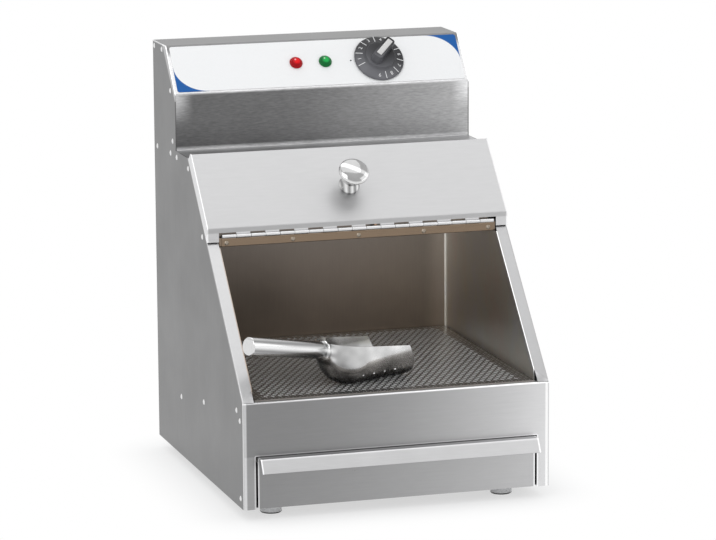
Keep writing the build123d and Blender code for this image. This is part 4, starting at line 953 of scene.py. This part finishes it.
# ------------------------------------------------------------------ lid and hinge
def lid_knob():
    """Polished mushroom knob."""
    profile = [
        (0, 34.0), (6.5, 33.8), (12.5, 33.0), (16.6, 31.2), (18.0, 28.8), (17.2, 26.6),
        (12.6, 25.0), (7.8, 22.8), (5.6, 19.6), (5.2, 15.0), (5.8, 10.0), (8.0, 6.2),
        (11.6, 3.6), (12.4, 2.0), (12.4, 0.0), (0, 0),
    ]
    turned = lathe(rounded(profile, 2.5, 3), 56)
    place = on_slope(LID_KNOB.y, LID_DEPTH, LID_KNOB.x)
    piece("lid_knob_turned", turned, CHROME, "lid", ("lid_knob",), place)


def knuckles():
    """Rolled barrels of the piano hinge."""
    pitch = HINGE_LENGTH / KNUCKLES
    for first, body, name in ((0, "cabinet", "hinge_rolls_fixed"), (1, "lid", "hinge_rolls_lid")):
        rolls = bmesh.new()
        for index in range(first, KNUCKLES, 2):
            start = -HINGE_LENGTH / 2 + index * pitch + KNUCKLE_GAP / 2
            length = pitch - KNUCKLE_GAP
            foot = [(PIN_RADIUS, 0), (ROLL_RADIUS, 0)]
            head = [(ROLL_RADIUS, length), (PIN_RADIUS, length)]
            roll = lathe(rounded(foot + head + foot[:1], 0.35), 24)
            join(rolls, roll, axes((start, HINGE_Y, HINGE_Z), (0, 0, 1), (1, 0, 0)))
        piece(name, rolls, HINGE, body)


def domes():
    """Smooth domed heads over the side panels' rivets."""
    head = [(0, 1.2), (1.0, 1.12), (2.0, 0.8), (2.8, 0.35), (3.2, 0.0)]
    profile = head + [(1.6, 0), (1.6, -2.1), (0, -2.1)]
    heads = bmesh.new()
    for y, z in RIVETS:
        for side in (-1, 1):
            join(heads, lathe(profile, 20), axes((side * BODY_HALF, y, z), (0, 1, 0), (side, 0, 0)))
    piece("rivet_heads", heads, RIVET, "cabinet", ("side_rivets",))


# ------------------------------------------------------------------ lower front and drawer
def bent_sheet(path, low, high, thickness=1.0):
    """A sheet bent along an outline of (y, z) points, running from x low to x high."""
    bm = bmesh.new()
    verts = [bm.verts.new((low, y, z)) for y, z in path]
    edges = [bm.edges.new(pair) for pair in zip(verts, verts[1:])]
    made = bmesh.ops.extrude_edge_only(bm, edges=edges)["geom"]
    far = [item for item in made if isinstance(item, bmesh.types.BMVert)]
    bmesh.ops.translate(bm, vec=(high - low, 0, 0), verts=far)
    bmesh.ops.solidify(bm, geom=list(bm.faces), thickness=thickness)
    return bm


def drawer_front():
    """Drawer front with its top folded forward and down into a handle."""
    top = DRAWER_TOP
    lip = (-HANDLE_SHELF - HANDLE_LIP.x, top - HANDLE_LIP.y)
    plate = [(DRAWER_SHEET, top), (DRAWER_SHEET, 0.6)]
    path = rounded([lip, (-HANDLE_SHELF, top)] + plate, 1.6, 4)
    sheet = bent_sheet(path, -DRAWER_HALF, DRAWER_HALF, DRAWER_SHEET)
    piece("drawer_sheet", sheet, DRAWER, "drawer", ("drawer_front",))


def strip_feet():
    """Lower ends of the side strips, running down to the lip."""
    feet = bmesh.new()
    for side in (-1, 1):
        plate = cuboid((13.0, 17.0, 0.8), (0, 9.3, -0.55), 0.2)
        join(feet, plate, on_slope(0, 0, side * STRIP_MIDDLE))
    piece("strip_feet", feet, SIDE, "cabinet")


# ------------------------------------------------------------------ feet and scoop
def feet():
    """Turned feet with a dark ring under each."""
    outline = [
        (2.1, 1.0), (11.7, 1.0), (12.3, -11.2), (12.3, -13.4), (11.4, -14.5), (6.0, -14.5),
        (6.0, -7.5), (2.1, -7.5), (2.1, 1.0),
    ]
    ring = [
        (12.34, -12.9), (12.34, -13.4), (11.4, -14.5), (8.0, -14.5), (8.0, -13.9), (11.8, -13.1),
        (12.34, -12.9),
    ]
    blocks = bmesh.new()
    rings = bmesh.new()
    for x in (-FOOT_X, FOOT_X):
        for y in FOOT_ROWS:
            join(blocks, lathe(rounded(outline, 0.6), 40), Matrix.Translation((x, y, 0)))
            join(rings, lathe(ring, 40), Matrix.Translation((x, y, 0)))
    piece("foot_blocks", blocks, FOOT, "cabinet", ("feet",))
    piece("foot_rings", rings, PAD, "cabinet")


SCOOP = Matrix.Translation(SCOOP_HEEL) @ Matrix.Rotation(radians(SCOOP_TURN), 4, "Z")


def handle_place():
    """Placing at the scoop's collar with z along the handle."""
    rise = radians(SCOOP_RISE)
    return SCOOP @ axes((0, 0, COLLAR), (0, 1, 0), (-cos(rise), 0, sin(rise)))


def scoop():
    """Handle tube of the scoop, closed at its end."""
    foot = 3.0
    end = [(0, TUBE_END), (TUBE_RADIUS - 1.0, TUBE_END), (TUBE_RADIUS, TUBE_END - 1.0)]
    wall = [(TUBE_RADIUS, foot), (TUBE_BORE, foot)]
    inside = [(TUBE_BORE, TUBE_END - 1.3), (0, TUBE_END - 1.3)]
    tube = lathe(rounded(end + wall + inside, 0.5, 2), 56)
    piece("scoop_tube", tube, SPOON, "scoop", ("scoop_handle",), handle_place())


# ------------------------------------------------------------------ studio
CAMERA_SPOT = Vector((-1231.99, -3883.62, 1045.40))
CAMERA_FORWARD = Vector((0.28692, 0.93913, -0.18896))
CAMERA_ROLL = -0.371
CAMERA_LENS = 187.62
SENSOR = 36.0


def camera():
    """The view of the whole cabinet from its front left."""
    forward = CAMERA_FORWARD.normalized()
    right = forward.cross(Vector((0, 0, 1))).normalized()
    up = right.cross(forward)
    roll = radians(CAMERA_ROLL)
    x_dir = right * cos(roll) + up * sin(roll)
    y_dir = up * cos(roll) - right * sin(roll)
    data = bpy.data.cameras.new("camera")
    data.lens = CAMERA_LENS
    data.sensor_width = SENSOR
    data.clip_end = 50.0
    made = bpy.data.objects.new("camera", data)
    spot = (CAMERA_SPOT + STAND) * MM
    turned = Matrix((x_dir, y_dir, -forward)).transposed().to_4x4()
    made.matrix_world = Matrix.Translation(spot) @ turned
    bpy.context.scene.collection.objects.link(made)
    bpy.context.scene.camera = made


def softbox(name, place, aim, size, power):
    """A large soft lamp."""
    data = bpy.data.lights.new(name, "AREA")
    data.shape = "RECTANGLE"
    data.size, data.size_y = size
    data.energy = power
    made = bpy.data.objects.new(name, data)
    place = Vector(place)
    turn = (Vector(aim) - place).to_track_quat("-Z", "Y").to_matrix().to_4x4()
    made.matrix_world = Matrix.Translation(place) @ turn
    bpy.context.scene.collection.objects.link(made)


def world():
    """Soft even surroundings, seen as white."""
    made = bpy.data.worlds.new("studio")
    made.use_nodes = True
    bpy.context.scene.world = made
    shader = Tree(made.node_tree)
    soft = {"Color": (0.96, 0.98, 1.0, 1), "Strength": 0.62}
    bright = {"Color": (1, 1, 1, 1), "Strength": 1.0}
    plain = shader.node("ShaderNodeBackground", None, soft)
    white = shader.node("ShaderNodeBackground", None, bright)
    output = shader.tree.nodes["World Output"].inputs["Surface"]
    shader.feed(output, shader.blend(shader.seen(), plain, white))


def floor():
    """Plain pale floor: it keeps the cabinet's soft shadow and is white further out."""
    bm = bmesh.new()
    bmesh.ops.create_grid(bm, x_segments=8, y_segments=8, size=6.0)
    mesh = bpy.data.meshes.new("floor")
    bm.to_mesh(mesh)
    bm.free()
    finish = Finish("pale_floor")
    cloud = finish.noise((0.002, 0.002, 0.002), 2.0)
    finish.set(Base_Color=finish.grey((cloud - 0.5) * 0.01 + 0.90), Roughness=0.9)
    x, y, z = finish.xyz()
    across = (abs(x) - 140).most(0.0)
    along = (abs(y - 192) - 150).most(0.0)
    away = (across * across + along * along) ** 0.5
    white = finish.node("ShaderNodeEmission", None, {"Color": (1, 1, 1, 1), "Strength": 1.0})
    share = finish.seen() * (away.above(60, 60) * 0.45 + 0.55)
    output = finish.tree.nodes["Material Output"].inputs["Surface"]
    finish.feed(output, finish.blend(share, finish.surface, white))
    mesh.materials.append(finish.material)
    made = bpy.data.objects.new("floor", mesh)
    bpy.context.scene.collection.objects.link(made)


def studio():
    """Camera, lights, surroundings and floor."""
    camera()
    world()
    floor()
    softbox("key", (-1.6, -1.8, 2.6), (0, 0, 0.25), (1.8, 1.8), 24.0)
    softbox("fill", (2.0, -1.4, 1.6), (0, 0, 0.25), (1.6, 1.6), 8.0)
    softbox("top", (0.0, 0.2, 2.6), (0, 0, 0.2), (2.2, 2.2), 14.0)
    bpy.context.scene.view_settings.view_transform = "Standard"


studio()
finish_nodes()
perforated_tray()
dial()
pilot_lamps()
lid_knob()
knuckles()
domes()
drawer_front()
strip_feet()
feet()
scoop()
